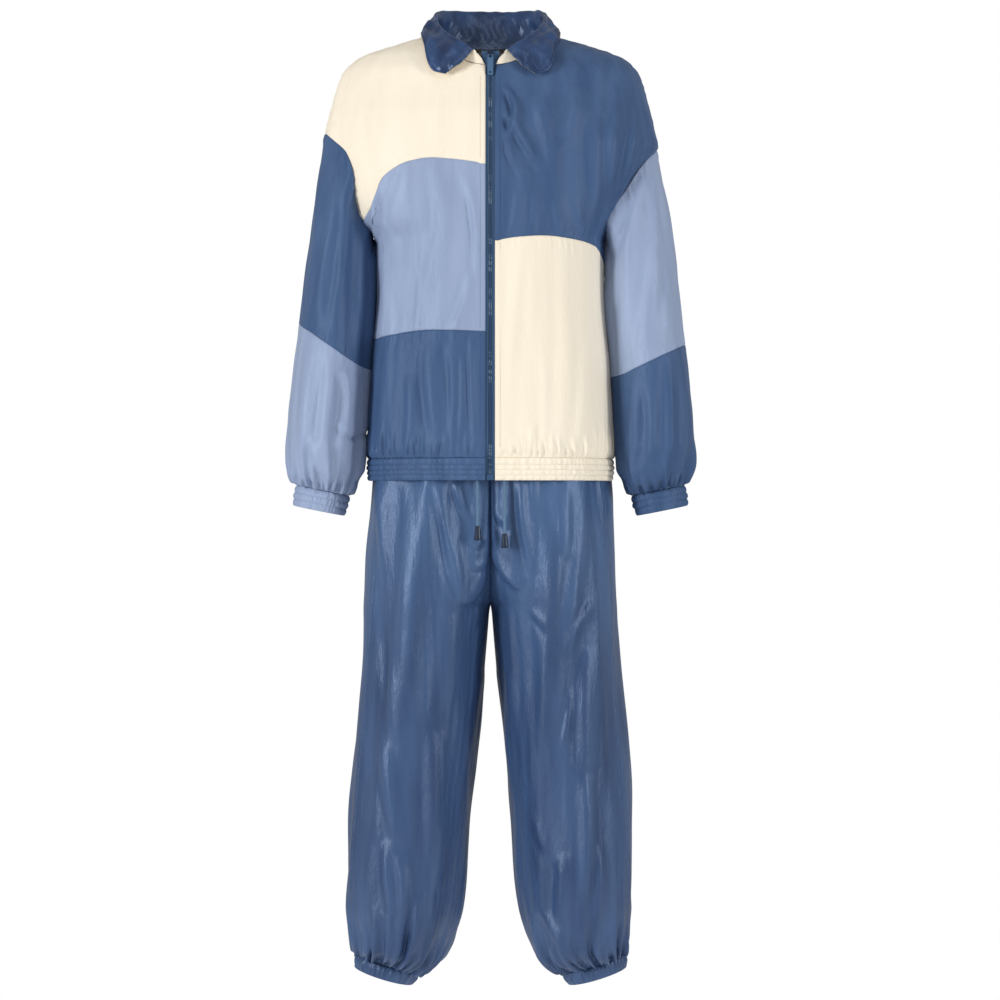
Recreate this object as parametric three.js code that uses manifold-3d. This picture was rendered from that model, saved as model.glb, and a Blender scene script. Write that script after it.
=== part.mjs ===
// A tracksuit, filled out as if worn and hollow: a zip jacket with a gathered hem over trousers.
// Units are millimetres. +Z is up, -Y the front and +X the wearer's left. The origin is the middle of
// the neck's base. Each cloth piece is a thin wall through rows of points on a smooth surface, and
// stops a little short of the next piece at every seam.
import * as THREE from 'three';
import { mergeVertices } from 'three/addons/utils/BufferGeometryUtils.js';
import Module from 'manifold-3d';

const wasm = await Module();
wasm.setup();

const CLOTH = 1.5; // wall of the nylon shell
const BAND = 2.5; // wall of a band: cloth folded round elastic
const SEAM = 0.4; // gap between two sewn pieces
const HALF_SEAM = SEAM / 2;
const SIDES = { right: -1, left: 1 }; // the wearer's sides, as the sign of x

const CREAM = 0xf7efdf;
const LIGHT_BLUE = 0x9bacca;
const DARK_BLUE = 0x506487;
const SLATE_BLUE = 0x48587a;
const ZIP_BLUE = 0x4e6987;
const METAL = 0x5b6f8c;

const vec = (x, y, z) => new THREE.Vector3(x, y, z);
const radians = THREE.MathUtils.degToRad;
const lerp = THREE.MathUtils.lerp;
const smoothstep = THREE.MathUtils.smoothstep;
const model = new THREE.Group();

// Curves through tables

// A smooth curve through a table's rows that never overshoots them.
function curve(rows, key, column) {
  const known = rows.filter((row) => row[column] !== undefined).sort((a, b) => a[key] - b[key]);
  const at = known.map((row) => row[key]);
  const value = known.map((row) => row[column]);
  const last = at.length - 1;
  const slope = at.slice(1).map((x, i) => (value[i + 1] - value[i]) / (x - at[i]));
  const tangent = at.map((x, i) => {
    if (i === 0) return slope[0];
    if (i === last) return slope[last - 1];
    const [before, after] = [slope[i - 1], slope[i]];
    return before * after <= 0 ? 0 : (2 * before * after) / (before + after);
  });
  return (x) => {
    if (x <= at[0]) return value[0];
    if (x >= at[last]) return value[last];
    const i = at.findIndex((_, k) => x < at[k + 1]);
    const width = at[i + 1] - at[i];
    const t = (x - at[i]) / width;
    const [t2, t3] = [t * t, t * t * t];
    return (2 * t3 - 3 * t2 + 1) * value[i] + (t3 - 2 * t2 + t) * width * tangent[i]
      + (3 * t2 - 2 * t3) * value[i + 1] + (t3 - t2) * width * tangent[i + 1];
  };
}

// The values after `from`, in equal steps, up to and with `to`.
function stepsTo(from, to, count) {
  return Array.from({ length: count }, (_, i) => lerp(from, to, (i + 1) / count));
}

// Solves f(x) = 0 for an f that rises from below zero to above it.
function root(f, low, high) {
  for (let i = 0; i < 50; i += 1) {
    const middle = (low + high) / 2;
    if (f(middle) < 0) low = middle;
    else high = middle;
  }
  return (low + high) / 2;
}

// Cloth walls. A grid is rows of knots, and a knot is a point with its outward normal.

function knot(point, normal) {
  return { point, normal: normal.clone().normalize() };
}

// Moves the edges of a grid inward, along the grid, by the given distances.
function inset(grid, edges) {
  const rows = grid.length - 1;
  const columns = grid[0].length - 1;
  const moved = grid.map((row) => row.map((k) => ({ point: k.point.clone(), normal: k.normal })));
  const pull = (k, towards, distance) => {
    const step = towards.point.clone().sub(k.point);
    k.point.addScaledVector(step.normalize(), distance);
  };
  for (let c = 0; c <= columns; c += 1) {
    if (edges.first) pull(moved[0][c], grid[1][c], edges.first);
    if (edges.last) pull(moved[rows][c], grid[rows - 1][c], edges.last);
  }
  for (let r = 0; r <= rows; r += 1) {
    if (edges.start) pull(moved[r][0], grid[r][1], edges.start);
    if (edges.end) pull(moved[r][columns], grid[r][columns - 1], edges.end);
  }
  return moved;
}

// The closed mesh of a wall whose outer face is the grid. A closed grid is a tube: its last column
// joins its first.
function wallGeometry(grid, thickness, closed = false) {
  const rows = grid.length;
  const columns = grid[0].length;
  const points = [];
  for (const layer of [0, thickness]) {
    for (const row of grid) {
      for (const k of row) points.push(k.point.clone().addScaledVector(k.normal, -layer));
    }
  }
  const inner = rows * columns;
  const faces = [];
  const quad = (a, b, c, d) => faces.push([a, b, c], [a, c, d]);
  const index = (r, c) => r * columns + (c % columns);
  const across = closed ? columns : columns - 1;
  for (let r = 0; r < rows - 1; r += 1) {
    for (let c = 0; c < across; c += 1) {
      const [a, b, d, e] = [index(r, c), index(r, c + 1), index(r + 1, c + 1), index(r + 1, c)];
      quad(a, b, d, e);
      faces.push([inner + a, inner + d, inner + b], [inner + a, inner + e, inner + d]);
    }
  }
  const rim = (a, b) => quad(b, a, inner + a, inner + b);
  for (let c = 0; c < across; c += 1) {
    rim(index(0, c), index(0, c + 1));
    rim(index(rows - 1, c + 1), index(rows - 1, c));
  }
  if (!closed) {
    for (let r = 0; r < rows - 1; r += 1) {
      rim(index(r + 1, 0), index(r, 0));
      rim(index(r, columns - 1), index(r + 1, columns - 1));
    }
  }
  return solid(points, faces);
}

// A geometry from points and faces, with the faces turned to look outward.
function solid(points, faces) {
  const volume = faces.reduce((sum, [a, b, c]) => (
    sum + points[a].dot(points[b].clone().cross(points[c]))
  ), 0);
  const outward = volume > 0 ? faces : faces.map(([a, b, c]) => [a, c, b]);
  const geometry = new THREE.BufferGeometry();
  geometry.setAttribute('position', new THREE.Float32BufferAttribute(
    points.flatMap((p) => p.toArray()), 3));
  geometry.setIndex(outward.flat());
  geometry.computeVertexNormals();
  return geometry;
}

function add(name, geometry, color, roughness = 0.55, metalness = 0) {
  const material = new THREE.MeshStandardMaterial({ color, roughness, metalness });
  const mesh = new THREE.Mesh(geometry, material);
  mesh.name = name;
  model.add(mesh);
  return mesh;
}

// The torso's surface: at each height a rounded box, wider than it is deep. The angle is 0 at the
// centre front, 90 at the side and 180 at the centre back.

const SQUARENESS = 2.4; // 2 is an ellipse
const torsoRows = [
  { z: 18, right: 78, left: 78, front: 30, back: 40 },
  { z: 13, right: 93, left: 93, front: 37, back: 56 },
  { z: 8, right: 110, left: 110, front: 43, back: 62 },
  { z: 1.5, right: 131, left: 131, front: 52, back: 69 },
  { z: -4.5, right: 149, left: 149, front: 58, back: 73 },
  { z: -10.5, right: 168, left: 168, front: 64, back: 77 },
  { z: -16.5, right: 186, left: 186, front: 69, back: 81 },
  { z: -22.5, right: 199, left: 199, front: 74, back: 84 },
  { z: -45, right: 222, left: 222, front: 89, back: 94 },
  { z: -67.5, right: 231, left: 231, front: 95.5, back: 101 },
  { z: -90, right: 237, left: 237, front: 102, back: 106 },
  { z: -112.5, right: 243, left: 243, front: 109, back: 110 },
  { z: -135, right: 247.5, left: 247.5, front: 113, back: 113 },
  { z: -153, right: 249, left: 252, front: 115.5, back: 115 },
  { z: -172, right: 247, left: 244, front: 118, back: 116.5 },
  { z: -200, right: 238, left: 228, front: 121, back: 118 },
  { z: -232, right: 222, left: 208, front: 124, back: 118 },
  { z: -265, right: 199, left: 187, front: 126, back: 118 },
  { z: -300, right: 171, left: 170, front: 128, back: 118 },
  { z: -382, right: 171, left: 171, front: 131, back: 116 },
  { z: -427, right: 174, left: 174, front: 133, back: 117 },
  { z: -472, right: 179, left: 179, front: 135, back: 118 },
  { z: -517, right: 182, left: 182, front: 137, back: 121 },
  { z: -562, right: 185, left: 185, front: 139, back: 128 },
  { z: -607, right: 187, left: 186, front: 141, back: 134 },
  { z: -621, right: 183, left: 183, front: 139, back: 132 },
];
const hemBandRows = [
  { z: -621, right: 183, left: 183, front: 139, back: 132 },
  { z: -632, right: 184.5, left: 184.5, front: 139, back: 133 },
  { z: -643, right: 184, left: 184, front: 138.5, back: 133 },
  { z: -654, right: 182.5, left: 182.5, front: 137, back: 132 },
];

// A surface of rounded boxes from a table of half widths and depths.
function roundedBody(rows) {
  const half = { right: curve(rows, 'z', 'right'), left: curve(rows, 'z', 'left') };
  const depth = { front: curve(rows, 'z', 'front'), back: curve(rows, 'z', 'back') };
  const power = 2 / SQUARENESS;
  const width = (side, z) => half[side](z);
  const deep = (angle, z) => (angle < 90 ? depth.front(z) : depth.back(z));
  const xAt = (side, angle, z) => width(side, z) * Math.abs(Math.sin(radians(angle))) ** power;
  const angleAt = (side, x, z) => {
    const ratio = Math.min(1, x / width(side, z));
    return THREE.MathUtils.radToDeg(Math.asin(ratio ** (1 / power)));
  };
  const at = (side, angle, z) => {
    const front = angle < 90 ? -1 : 1;
    const y = front * deep(angle, z) * Math.abs(Math.cos(radians(angle))) ** power;
    const x = xAt(side, angle, z);
    const dz = 0.5;
    const [a, d] = [width(side, z), deep(angle, z)];
    const growA = (width(side, z + dz) - width(side, z - dz)) / (2 * dz);
    const growD = (deep(angle, z + dz) - deep(angle, z - dz)) / (2 * dz);
    const [u, v] = [x / a, Math.abs(y) / d];
    const normal = vec(
      SIDES[side] * u ** (SQUARENESS - 1) / a,
      front * v ** (SQUARENESS - 1) / d,
      -(u ** SQUARENESS * growA) / a - (v ** SQUARENESS * growD) / d,
    );
    return knot(vec(SIDES[side] * x, y, z), normal);
  };
  return { at, angleAt, xAt };
}

const torso = roundedBody(torsoRows);
const hemBand = roundedBody(hemBandRows);

// Where the jacket's pieces meet: the zip's edge, the neckline, the armholes and the panel seams

const ZIP_EDGE = 7.2; // a front panel's edge, from the middle of the zip
const HEM_Z = -621;
const BLOUSE_Z = -607; // where the jacket is fullest, just above its hem band
const NECK = { halfWidth: 78, shoulderZ: 18, frontDrop: 60, backDrop: 10 };
const NECK_ROOM = 2.4; // what the panels leave for the collar's thickness
const SIDE_SEAM = { angle: 98, fadeIn: 80 }; // it leans to the back below the underarm
const ARMHOLES = {
  right: {
    topZ: -135,
    underarmZ: -300,
    rows: [
      { z: -135, x: 247.5 }, { z: -153, x: 228.7 }, { z: -172, x: 211 }, { z: -200, x: 203 },
      { z: -217, x: 202 }, { z: -250, x: 196 }, { z: -265, x: 190 }, { z: -282, x: 179 },
      { z: -300, x: 171 },
    ],
  },
  left: {
    topZ: -160,
    underarmZ: -300,
    rows: [
      { z: -160, x: 250 }, { z: -172, x: 237 }, { z: -190, x: 222 }, { z: -225, x: 199 },
      { z: -252, x: 180 }, { z: -268, x: 173 }, { z: -300, x: 170 },
    ],
  },
};
const SEAMS = {
  rightHigh: [
    { x: 7, z: -191 }, { x: 44, z: -185 }, { x: 88, z: -181.5 }, { x: 125, z: -188 },
    { x: 154, z: -205 }, { x: 163, z: -216 }, { x: 170, z: -238 }, { x: 186, z: -268 },
  ],
  rightLow: [{ x: 7, z: -436.5 }, { x: 88, z: -434 }, { x: 178, z: -444 }],
  leftHigh: [
    { x: 7, z: -304 }, { x: 44, z: -298 }, { x: 80, z: -296 }, { x: 118, z: -299 },
    { x: 155, z: -307 }, { x: 166, z: -322 }, { x: 171, z: -335 },
  ],
};

function sideSeamAngle(side, z) {
  const below = ARMHOLES[side].underarmZ - z;
  return lerp(90, SIDE_SEAM.angle, smoothstep(below, 0, SIDE_SEAM.fadeIn));
}

// The armhole's angle on the front of the torso, at a height. The back's is its mirror.
const armholeX = {
  right: curve(ARMHOLES.right.rows, 'z', 'x'),
  left: curve(ARMHOLES.left.rows, 'z', 'x'),
};
function armholeAngle(side, z) {
  return torso.angleAt(side, armholeX[side](z), z);
}

// The armhole's height at a turn round it: 0 at the shoulder, 90 in front, 180 under the arm.
function armholeZ(side, turn) {
  const { topZ, underarmZ } = ARMHOLES[side];
  return lerp(topZ, underarmZ, (1 - Math.cos(radians(turn))) / 2);
}

// The neckline, from 0 at the centre front over 1 at the shoulder to 2 at the centre back.
function neckline(side, t) {
  const { halfWidth, shoulderZ, frontDrop, backDrop } = NECK;
  const turn = radians(90 * (t < 1 ? t : 2 - t));
  const drop = t < 1 ? frontDrop : backDrop;
  const x = halfWidth * Math.sin(turn);
  const z = shoulderZ - drop * Math.cos(turn);
  const angle = torso.angleAt(side, x, z);
  return torso.at(side, t < 1 ? angle : 180 - angle, z);
}

// The jacket's panels. A row goes from an inner end to an outer end, each an angle and a height.

const FRONT_COLUMNS = 8;
const BACK_COLUMNS = 14;
// A front's rows come in stretches. In each, the inner end climbs the zip to a height, and the outer
// end climbs the side seam to a height, or then the armhole to a turn round it.
const FRONT_STRETCHES = {
  right: [
    { rows: 1, innerZ: BLOUSE_Z, sideZ: BLOUSE_Z },
    { rows: 4, innerZ: -436.5, sideZ: -446 },
    { rows: 3, innerZ: -289, sideZ: -300 },
    { rows: 2, innerZ: -191, armholeTurn: 135 },
    { rows: 6, innerZ: -42, armholeTurn: 0 },
  ],
  left: [
    { rows: 1, innerZ: BLOUSE_Z, sideZ: BLOUSE_Z },
    { rows: 5, innerZ: -304, sideZ: -335 },
    { rows: 2, innerZ: -250, sideZ: -300 },
    { rows: 8, innerZ: -42, armholeTurn: 0 },
  ],
};
// The last rows run from the neckline to the shoulder seam.
const SHOULDER_ROWS = [
  { necklineT: 0.2, ridgeZ: -90 },
  { necklineT: 0.42, ridgeZ: -45 },
  { necklineT: 0.64, ridgeZ: -16.5 },
  { necklineT: 0.84, ridgeZ: -1 },
  { necklineT: 0.965, ridgeZ: 13.5 },
];

function sideEnd(side, z) {
  return { angle: sideSeamAngle(side, z), z };
}

function armholeEnd(side, turn) {
  const z = armholeZ(side, turn);
  return { angle: armholeAngle(side, z), z };
}

function zipEnd(side, z) {
  return { angle: torso.angleAt(side, ZIP_EDGE, z), z };
}

function necklineEnd(side, t) {
  const turn = radians(90 * t);
  const z = NECK.shoulderZ - NECK.frontDrop * Math.cos(turn);
  return { angle: torso.angleAt(side, NECK.halfWidth * Math.sin(turn), z), z };
}

// Every row of a front, from the hem to the neck.
function frontRows(side) {
  const rows = [{ inner: zipEnd(side, HEM_Z), outer: sideEnd(side, HEM_Z) }];
  let [innerZ, sideZ, turn] = [HEM_Z, HEM_Z, 180];
  for (const stretch of FRONT_STRETCHES[side]) {
    for (const t of stepsTo(0, 1, stretch.rows)) {
      const outer = stretch.sideZ === undefined
        ? armholeEnd(side, lerp(turn, stretch.armholeTurn, t))
        : sideEnd(side, lerp(sideZ, stretch.sideZ, t));
      rows.push({ inner: zipEnd(side, lerp(innerZ, stretch.innerZ, t)), outer });
    }
    innerZ = stretch.innerZ;
    sideZ = stretch.sideZ ?? sideZ;
    turn = stretch.armholeTurn ?? turn;
  }
  for (const { necklineT, ridgeZ } of SHOULDER_ROWS) {
    rows.push({ inner: necklineEnd(side, necklineT), outer: { angle: 90, z: ridgeZ } });
  }
  return rows;
}

// How far a seam lies above or below the straight line between a row's ends, at each column.
function seamRise(side, row, seam) {
  const seamZ = curve(seam, 'x', 'z');
  return Array.from({ length: FRONT_COLUMNS + 1 }, (_, c) => {
    if (c === 0 || c === FRONT_COLUMNS) return 0;
    const angle = lerp(row.inner.angle, row.outer.angle, c / FRONT_COLUMNS);
    const z = root((h) => h - seamZ(torso.xAt(side, angle, h)), HEM_Z, 0);
    return z - lerp(row.inner.z, row.outer.z, c / FRONT_COLUMNS);
  });
}

function frontPanel(side, rows, { below, above }, neckRows = 0) {
  const flat = new Array(FRONT_COLUMNS + 1).fill(0);
  const last = rows.length - 1;
  const low = below ? seamRise(side, rows[0], below) : flat;
  const high = above ? seamRise(side, rows[last], above) : flat;
  const grid = rows.map(({ inner, outer }, r) => flat.map((_, c) => {
    const v = c / FRONT_COLUMNS;
    const rise = lerp(low[c], high[c], r / last);
    return torso.at(side, lerp(inner.angle, outer.angle, v), lerp(inner.z, outer.z, v) + rise);
  }));
  const moved = inset(grid, { first: HALF_SEAM, last: HALF_SEAM, end: HALF_SEAM });
  for (let r = last - neckRows + 1; neckRows > 0 && r <= last; r += 1) {
    const [edge, next] = [moved[r][0].point, grid[r][1].point];
    edge.addScaledVector(next.clone().sub(edge).normalize(), NECK_ROOM);
  }
  return wallGeometry(moved, CLOTH);
}

function addFronts() {
  const right = frontRows('right');
  const left = frontRows('left');
  const { rightHigh, rightLow, leftHigh } = SEAMS;
  const neckRows = SHOULDER_ROWS.length;
  const panels = [
    ['front_right_bottom', 'right', right.slice(0, 6), { above: rightLow }, 0, DARK_BLUE],
    ['front_right_middle', 'right', right.slice(5, 11), { below: rightLow, above: rightHigh }, 0,
      LIGHT_BLUE],
    ['front_right_top', 'right', right.slice(10), { below: rightHigh }, neckRows, CREAM],
    ['front_left_bottom', 'left', left.slice(0, 7), { above: leftHigh }, 0, CREAM],
    ['front_left_top', 'left', left.slice(6), { below: leftHigh }, neckRows, DARK_BLUE],
  ];
  for (const [name, side, rows, seams, atNeck, color] of panels) {
    add(name, frontPanel(side, rows, seams, atNeck), color);
  }
}

// The back's rows, from the hem to the neck: an angle and a height at the right and the left end.
// They meet the fronts' rows at the side seams, armholes and shoulders.
function backRows() {
  const ends = (side) => frontRows(side).slice(0, -1).map(({ outer }) => (
    outer.angle < 90 ? { angle: 180 - outer.angle, z: outer.z } : outer));
  const left = ends('left');
  const neck = { angle: 90, z: NECK.shoulderZ };
  return [...ends('right').map((end, r) => ({ right: end, left: left[r] })),
    { right: neck, left: neck }];
}

// How far the back neckline lies below the shoulders at an angle.
function backNeckDip(angle) {
  const { halfWidth, shoulderZ, backDrop } = NECK;
  const necklineZ = (z) => {
    const ratio = Math.min(1, torso.xAt('right', angle, z) / halfWidth);
    return shoulderZ - backDrop * Math.sqrt(1 - ratio ** 2);
  };
  return root((z) => z - necklineZ(z), shoulderZ - 2 * backDrop, shoulderZ) - shoulderZ;
}

function addBack() {
  const rows = backRows();
  const last = rows.length - 1;
  const armholeTop = last - SHOULDER_ROWS.length;
  const half = BACK_COLUMNS / 2;
  const grid = rows.map(({ right, left }, r) => (
    Array.from({ length: BACK_COLUMNS + 1 }, (_, c) => {
      const side = c < half ? 'right' : 'left';
      const end = side === 'right' ? right : left;
      const angle = lerp(180, end.angle, Math.abs(c - half) / half);
      const z = lerp(right.z, left.z, c / BACK_COLUMNS);
      const share = Math.max(0, r - armholeTop) / (last - armholeTop);
      return torso.at(side, angle, z + (share > 0 ? share * backNeckDip(angle) : 0));
    })));
  const edges = { first: HALF_SEAM, last: NECK_ROOM, start: HALF_SEAM, end: HALF_SEAM };
  add('back_panel', wallGeometry(inset(grid, edges), CLOTH), CREAM);
}

function addHemBand() {
  const heights = hemBandRows.map((row) => row.z);
  const edges = { first: HALF_SEAM, end: HALF_SEAM };
  for (const [side, color] of [['right', DARK_BLUE], ['left', CREAM]]) {
    const grid = heights.map((z) => {
      const from = hemBand.angleAt(side, ZIP_EDGE, z);
      return [0, ...stepsTo(0, 1, FRONT_COLUMNS)].map((v) => (
        hemBand.at(side, lerp(from, SIDE_SEAM.angle, v), z)));
    });
    add(`hem_band_${side}`, wallGeometry(inset(grid, edges), BAND), color);
  }
  const half = BACK_COLUMNS / 2;
  const grid = heights.map((z) => Array.from({ length: BACK_COLUMNS + 1 }, (_, c) => (
    hemBand.at(c < half ? 'right' : 'left',
      lerp(180, SIDE_SEAM.angle, Math.abs(c - half) / half), z))));
  const backEdges = { first: HALF_SEAM, start: HALF_SEAM, end: HALF_SEAM };
  add('hem_band_back', wallGeometry(inset(grid, backEdges), BAND), CREAM);
}

// Sleeves: rings down the arm, tilted to match the cuff. A turn is 0 outside, 90 in front.

const SLEEVE_COLUMNS = 16;
const sleeveRings = [
  { z: -330, x: 225.8, y: 0, halfWidth: 51.7, halfDepth: 80, tilt: 0 },
  { z: -382, x: 228.8, y: -2, halfWidth: 54.2, halfDepth: 82, tilt: 0 },
  { z: -427, x: 233, y: -4, halfWidth: 55, halfDepth: 83, tilt: 0 },
  { z: -472, x: 238.5, y: -6, halfWidth: 55.5, halfDepth: 85, tilt: 0 },
  { z: -517, x: 242.3, y: -8, halfWidth: 56.2, halfDepth: 87, tilt: 1 },
  { z: -562, x: 245.8, y: -10, halfWidth: 57.2, halfDepth: 87, tilt: 2 },
  { z: -600, x: 247.3, y: -12, halfWidth: 57.2, halfDepth: 85, tilt: 3 },
  { z: -630, x: 247.5, y: -13, halfWidth: 55.5, halfDepth: 78, tilt: 5 },
  { z: -650, x: 248.5, y: -14, halfWidth: 50.5, halfDepth: 66, tilt: 8 },
  { z: -661, x: 249.5, y: -15, halfWidth: 45, halfDepth: 52, tilt: 10 },
  { z: -668, x: 250.5, y: -15, halfWidth: 40, halfDepth: 40, tilt: 11.5 },
];
const sleeveSeams = { right: { z: -455, rise: 35 }, left: { z: -476, rise: 25 } };
const UPPER_SLEEVE_STOPS = [0, 0.16, 0.34, 0.55, 0.78, 1];
const LOWER_SLEEVE_STOPS = [0, 0.2, 0.4, 0.58, 0.74, 0.86, 0.94, 0.98, 1];

// A point of a tilted ring at a turn, with the direction away from the ring's middle.
function ringKnot(side, ring, turn) {
  const [cos, sin] = [Math.cos(radians(turn)), Math.sin(radians(turn))];
  const tilt = radians(ring.tilt);
  const across = vec(SIDES[side] * Math.cos(tilt), 0, Math.sin(tilt));
  const forward = vec(0, -1, 0);
  const middle = vec(SIDES[side] * ring.x, ring.y, ring.z);
  const point = middle.clone()
    .addScaledVector(across, ring.halfWidth * cos)
    .addScaledVector(forward, ring.halfDepth * sin);
  const normal = across.clone().multiplyScalar(cos / ring.halfWidth)
    .addScaledVector(forward, sin / ring.halfDepth);
  return knot(point, normal);
}

function armholeKnot(side, turn) {
  const front = turn <= 180;
  const z = armholeZ(side, front ? turn : 360 - turn);
  const angle = armholeAngle(side, z);
  return torso.at(side, front ? angle : 180 - angle, z);
}

// The smooth line down the sleeve at a turn, as the point at each height.
function sleeveLine(side, turn) {
  const points = [armholeKnot(side, turn), ...sleeveRings.map((r) => ringKnot(side, r, turn))]
    .map(({ point }) => ({ x: point.x, y: point.y, z: point.z }));
  const [x, y] = [curve(points, 'z', 'x'), curve(points, 'z', 'y')];
  return { at: (z) => vec(x(z), y(z), z), top: points[0].z, bottom: points.at(-1).z };
}

// Gives each point of a closed tube's grid its outward normal.
function tubeKnots(points) {
  const last = points.length - 1;
  const columns = points[0].length;
  return points.map((row, r) => {
    const middle = row.reduce((sum, p) => sum.add(p), vec(0, 0, 0)).divideScalar(columns);
    return row.map((point, c) => {
      const round = row[(c + 1) % columns].clone().sub(row[(c + columns - 1) % columns]);
      const along = points[Math.min(r + 1, last)][c].clone().sub(points[Math.max(r - 1, 0)][c]);
      const normal = round.cross(along);
      if (normal.dot(point.clone().sub(middle)) < 0) normal.negate();
      return knot(point, normal);
    });
  });
}

function addSleeve(side, upperColor, lowerColor) {
  const turns = Array.from({ length: SLEEVE_COLUMNS }, (_, c) => (360 * c) / SLEEVE_COLUMNS);
  const lines = turns.map((turn) => sleeveLine(side, turn));
  const seam = turns.map((turn) => (
    sleeveSeams[side].z + sleeveSeams[side].rise * Math.cos(radians(turn))));
  const upper = UPPER_SLEEVE_STOPS.map((t) => (
    lines.map((line, c) => line.at(lerp(line.top, seam[c], t)))));
  const lower = LOWER_SLEEVE_STOPS.slice(1).map((t) => (
    lines.map((line, c) => line.at(lerp(seam[c], line.bottom, t)))));
  const grid = tubeKnots([...upper, ...lower]);
  const seamRow = upper.length - 1;
  const edges = { first: HALF_SEAM, last: HALF_SEAM };
  const upperGrid = inset(grid.slice(0, seamRow + 1), edges);
  const lowerGrid = inset(grid.slice(seamRow), edges);
  add(`sleeve_${side}_upper`, wallGeometry(upperGrid, CLOTH, true), upperColor);
  add(`sleeve_${side}_lower`, wallGeometry(lowerGrid, CLOTH, true), lowerColor);
}

// A band round a wrist or an ankle: rings along a tilted axis, from its top ring down.
const CUFF_COLUMNS = 16;

function bandGeometry(side, top, profile) {
  const tilt = radians(top.tilt);
  const down = vec(SIDES[side] * Math.sin(tilt), 0, -Math.cos(tilt));
  const grid = profile.map(({ along, grow }) => {
    const ring = {
      ...top,
      x: top.x + SIDES[side] * down.x * along,
      z: top.z + down.z * along,
      halfWidth: top.halfWidth + grow,
      halfDepth: top.halfDepth + grow,
    };
    return Array.from({ length: CUFF_COLUMNS }, (_, c) => (
      ringKnot(side, ring, (360 * c) / CUFF_COLUMNS)));
  });
  return wallGeometry(inset(grid, { first: HALF_SEAM }), BAND, true);
}

const cuffProfile = [{ along: 0, grow: 0 }, { along: 10, grow: 1 }, { along: 31, grow: -1 }];
const legCuffProfile = [{ along: 0, grow: 0 }, { along: 8, grow: 0.8 }, { along: 20, grow: -2 }];

function addSleeves() {
  addSleeve('right', DARK_BLUE, LIGHT_BLUE);
  addSleeve('left', LIGHT_BLUE, DARK_BLUE);
  const wrist = sleeveRings.at(-1);
  add('cuff_right', bandGeometry('right', wrist, cuffProfile), LIGHT_BLUE);
  add('cuff_left', bandGeometry('left', wrist, cuffProfile), DARK_BLUE);
}

// Trousers. Seen from above, each half is an ellipse cut off at the middle, down to the crotch, and
// a whole ellipse below it. A share of 0 is the centre front or the inseam, and 1 the centre back.

const legRows = [
  { z: -570, x: 55, halfWidth: 108, front: 112, back: 112, tilt: 0 },
  { z: -610, x: 59, halfWidth: 112.5, front: 119, back: 116, tilt: 0 },
  { z: -645, x: 62, halfWidth: 115, front: 122, back: 119, tilt: 0 },
  { z: -675, x: 66, halfWidth: 114, front: 124, back: 124, tilt: 0 },
  { z: -712, x: 70, halfWidth: 112, front: 125, back: 129, tilt: 0 },
  { z: -757, x: 76, halfWidth: 108, front: 125, back: 132, tilt: 0 },
  { z: -800, x: 83, halfWidth: 102.5, front: 124, back: 130, tilt: 0 },
  { z: -825, x: 89, halfWidth: 98, front: 122, back: 126, tilt: 0 },
  { z: -842, x: 94.4, halfWidth: 94, front: 120, back: 123, tilt: 0 },
  { z: -870, x: 96.5, halfWidth: 93.1, front: 117, back: 120, tilt: 0 },
  { z: -960, x: 104, halfWidth: 93, front: 111, back: 113, tilt: 0 },
  { z: -1080, x: 114.3, halfWidth: 92, front: 107, back: 109, tilt: 0 },
  { z: -1230, x: 127.5, halfWidth: 88.5, front: 104, back: 106, tilt: 0 },
  { z: -1290, x: 131.5, halfWidth: 84.5, front: 100, back: 102, tilt: 3 },
  { z: -1330, x: 134, halfWidth: 77, front: 92, back: 94, tilt: 7 },
  { z: -1352, x: 138, halfWidth: 70, front: 84, back: 84, tilt: 10 },
  { z: -1366, x: 146, halfWidth: 60, front: 70, back: 72, tilt: 14 },
  { z: -1376, x: 154.5, halfWidth: 48, front: 47, back: 47, tilt: 17 },
];
const waist = { halfWidth: 162, depth: 112, top: -532, bottom: -570, flare: -640 };
const SIDE_SEAM_TURN = 152; // where the trousers' side seam is, from the innermost point
const LEG_FRONT_COLUMNS = 7;
const LEG_BACK_COLUMNS = 9;
const WAIST_COLUMNS = 24;

// The waist's rounded outline, from 0 at the centre front to 1 at the centre back.
function waistPoint(side, share, z) {
  const angle = Math.PI * share;
  const power = 2 / SQUARENESS;
  const [sin, cos] = [Math.sin(angle), Math.cos(angle)];
  return vec(
    SIDES[side] * waist.halfWidth * Math.sign(sin) * Math.abs(sin) ** power,
    -waist.depth * Math.sign(cos) * Math.abs(cos) ** power,
    z,
  );
}

// The turn at which a half's ellipse meets the middle: 0 from the crotch down.
function cutTurn(row) {
  return THREE.MathUtils.radToDeg(Math.acos(Math.min(1, row.x / row.halfWidth)));
}

function legPoint(side, share, row) {
  const cut = cutTurn(row);
  const turn = radians(lerp(cut, 360 - cut, share));
  const [cos, sin] = [Math.cos(turn), Math.sin(turn)];
  const tilt = radians(row.tilt);
  const lobe = vec(
    SIDES[side] * (row.x - row.halfWidth * cos * Math.cos(tilt)),
    -sin * (sin > 0 ? row.front : row.back),
    row.z - row.halfWidth * cos * Math.sin(tilt),
  );
  const blend = smoothstep(waist.bottom - row.z, 0, waist.bottom - waist.flare);
  return waistPoint(side, share, row.z).lerp(lobe, blend);
}

// A leg's knot, with a normal square to the outline.
function legKnot(side, share, row) {
  const little = 0.002;
  const [low, high] = cutTurn(row) > 0 ? [Math.max(0, share - little), Math.min(1, share + little)]
    : [share - little, share + little];
  const along = legPoint(side, high, row).sub(legPoint(side, low, row));
  const normal = vec(-along.y, along.x, 0).multiplyScalar(-SIDES[side]);
  return knot(legPoint(side, share, row), normal);
}

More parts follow.
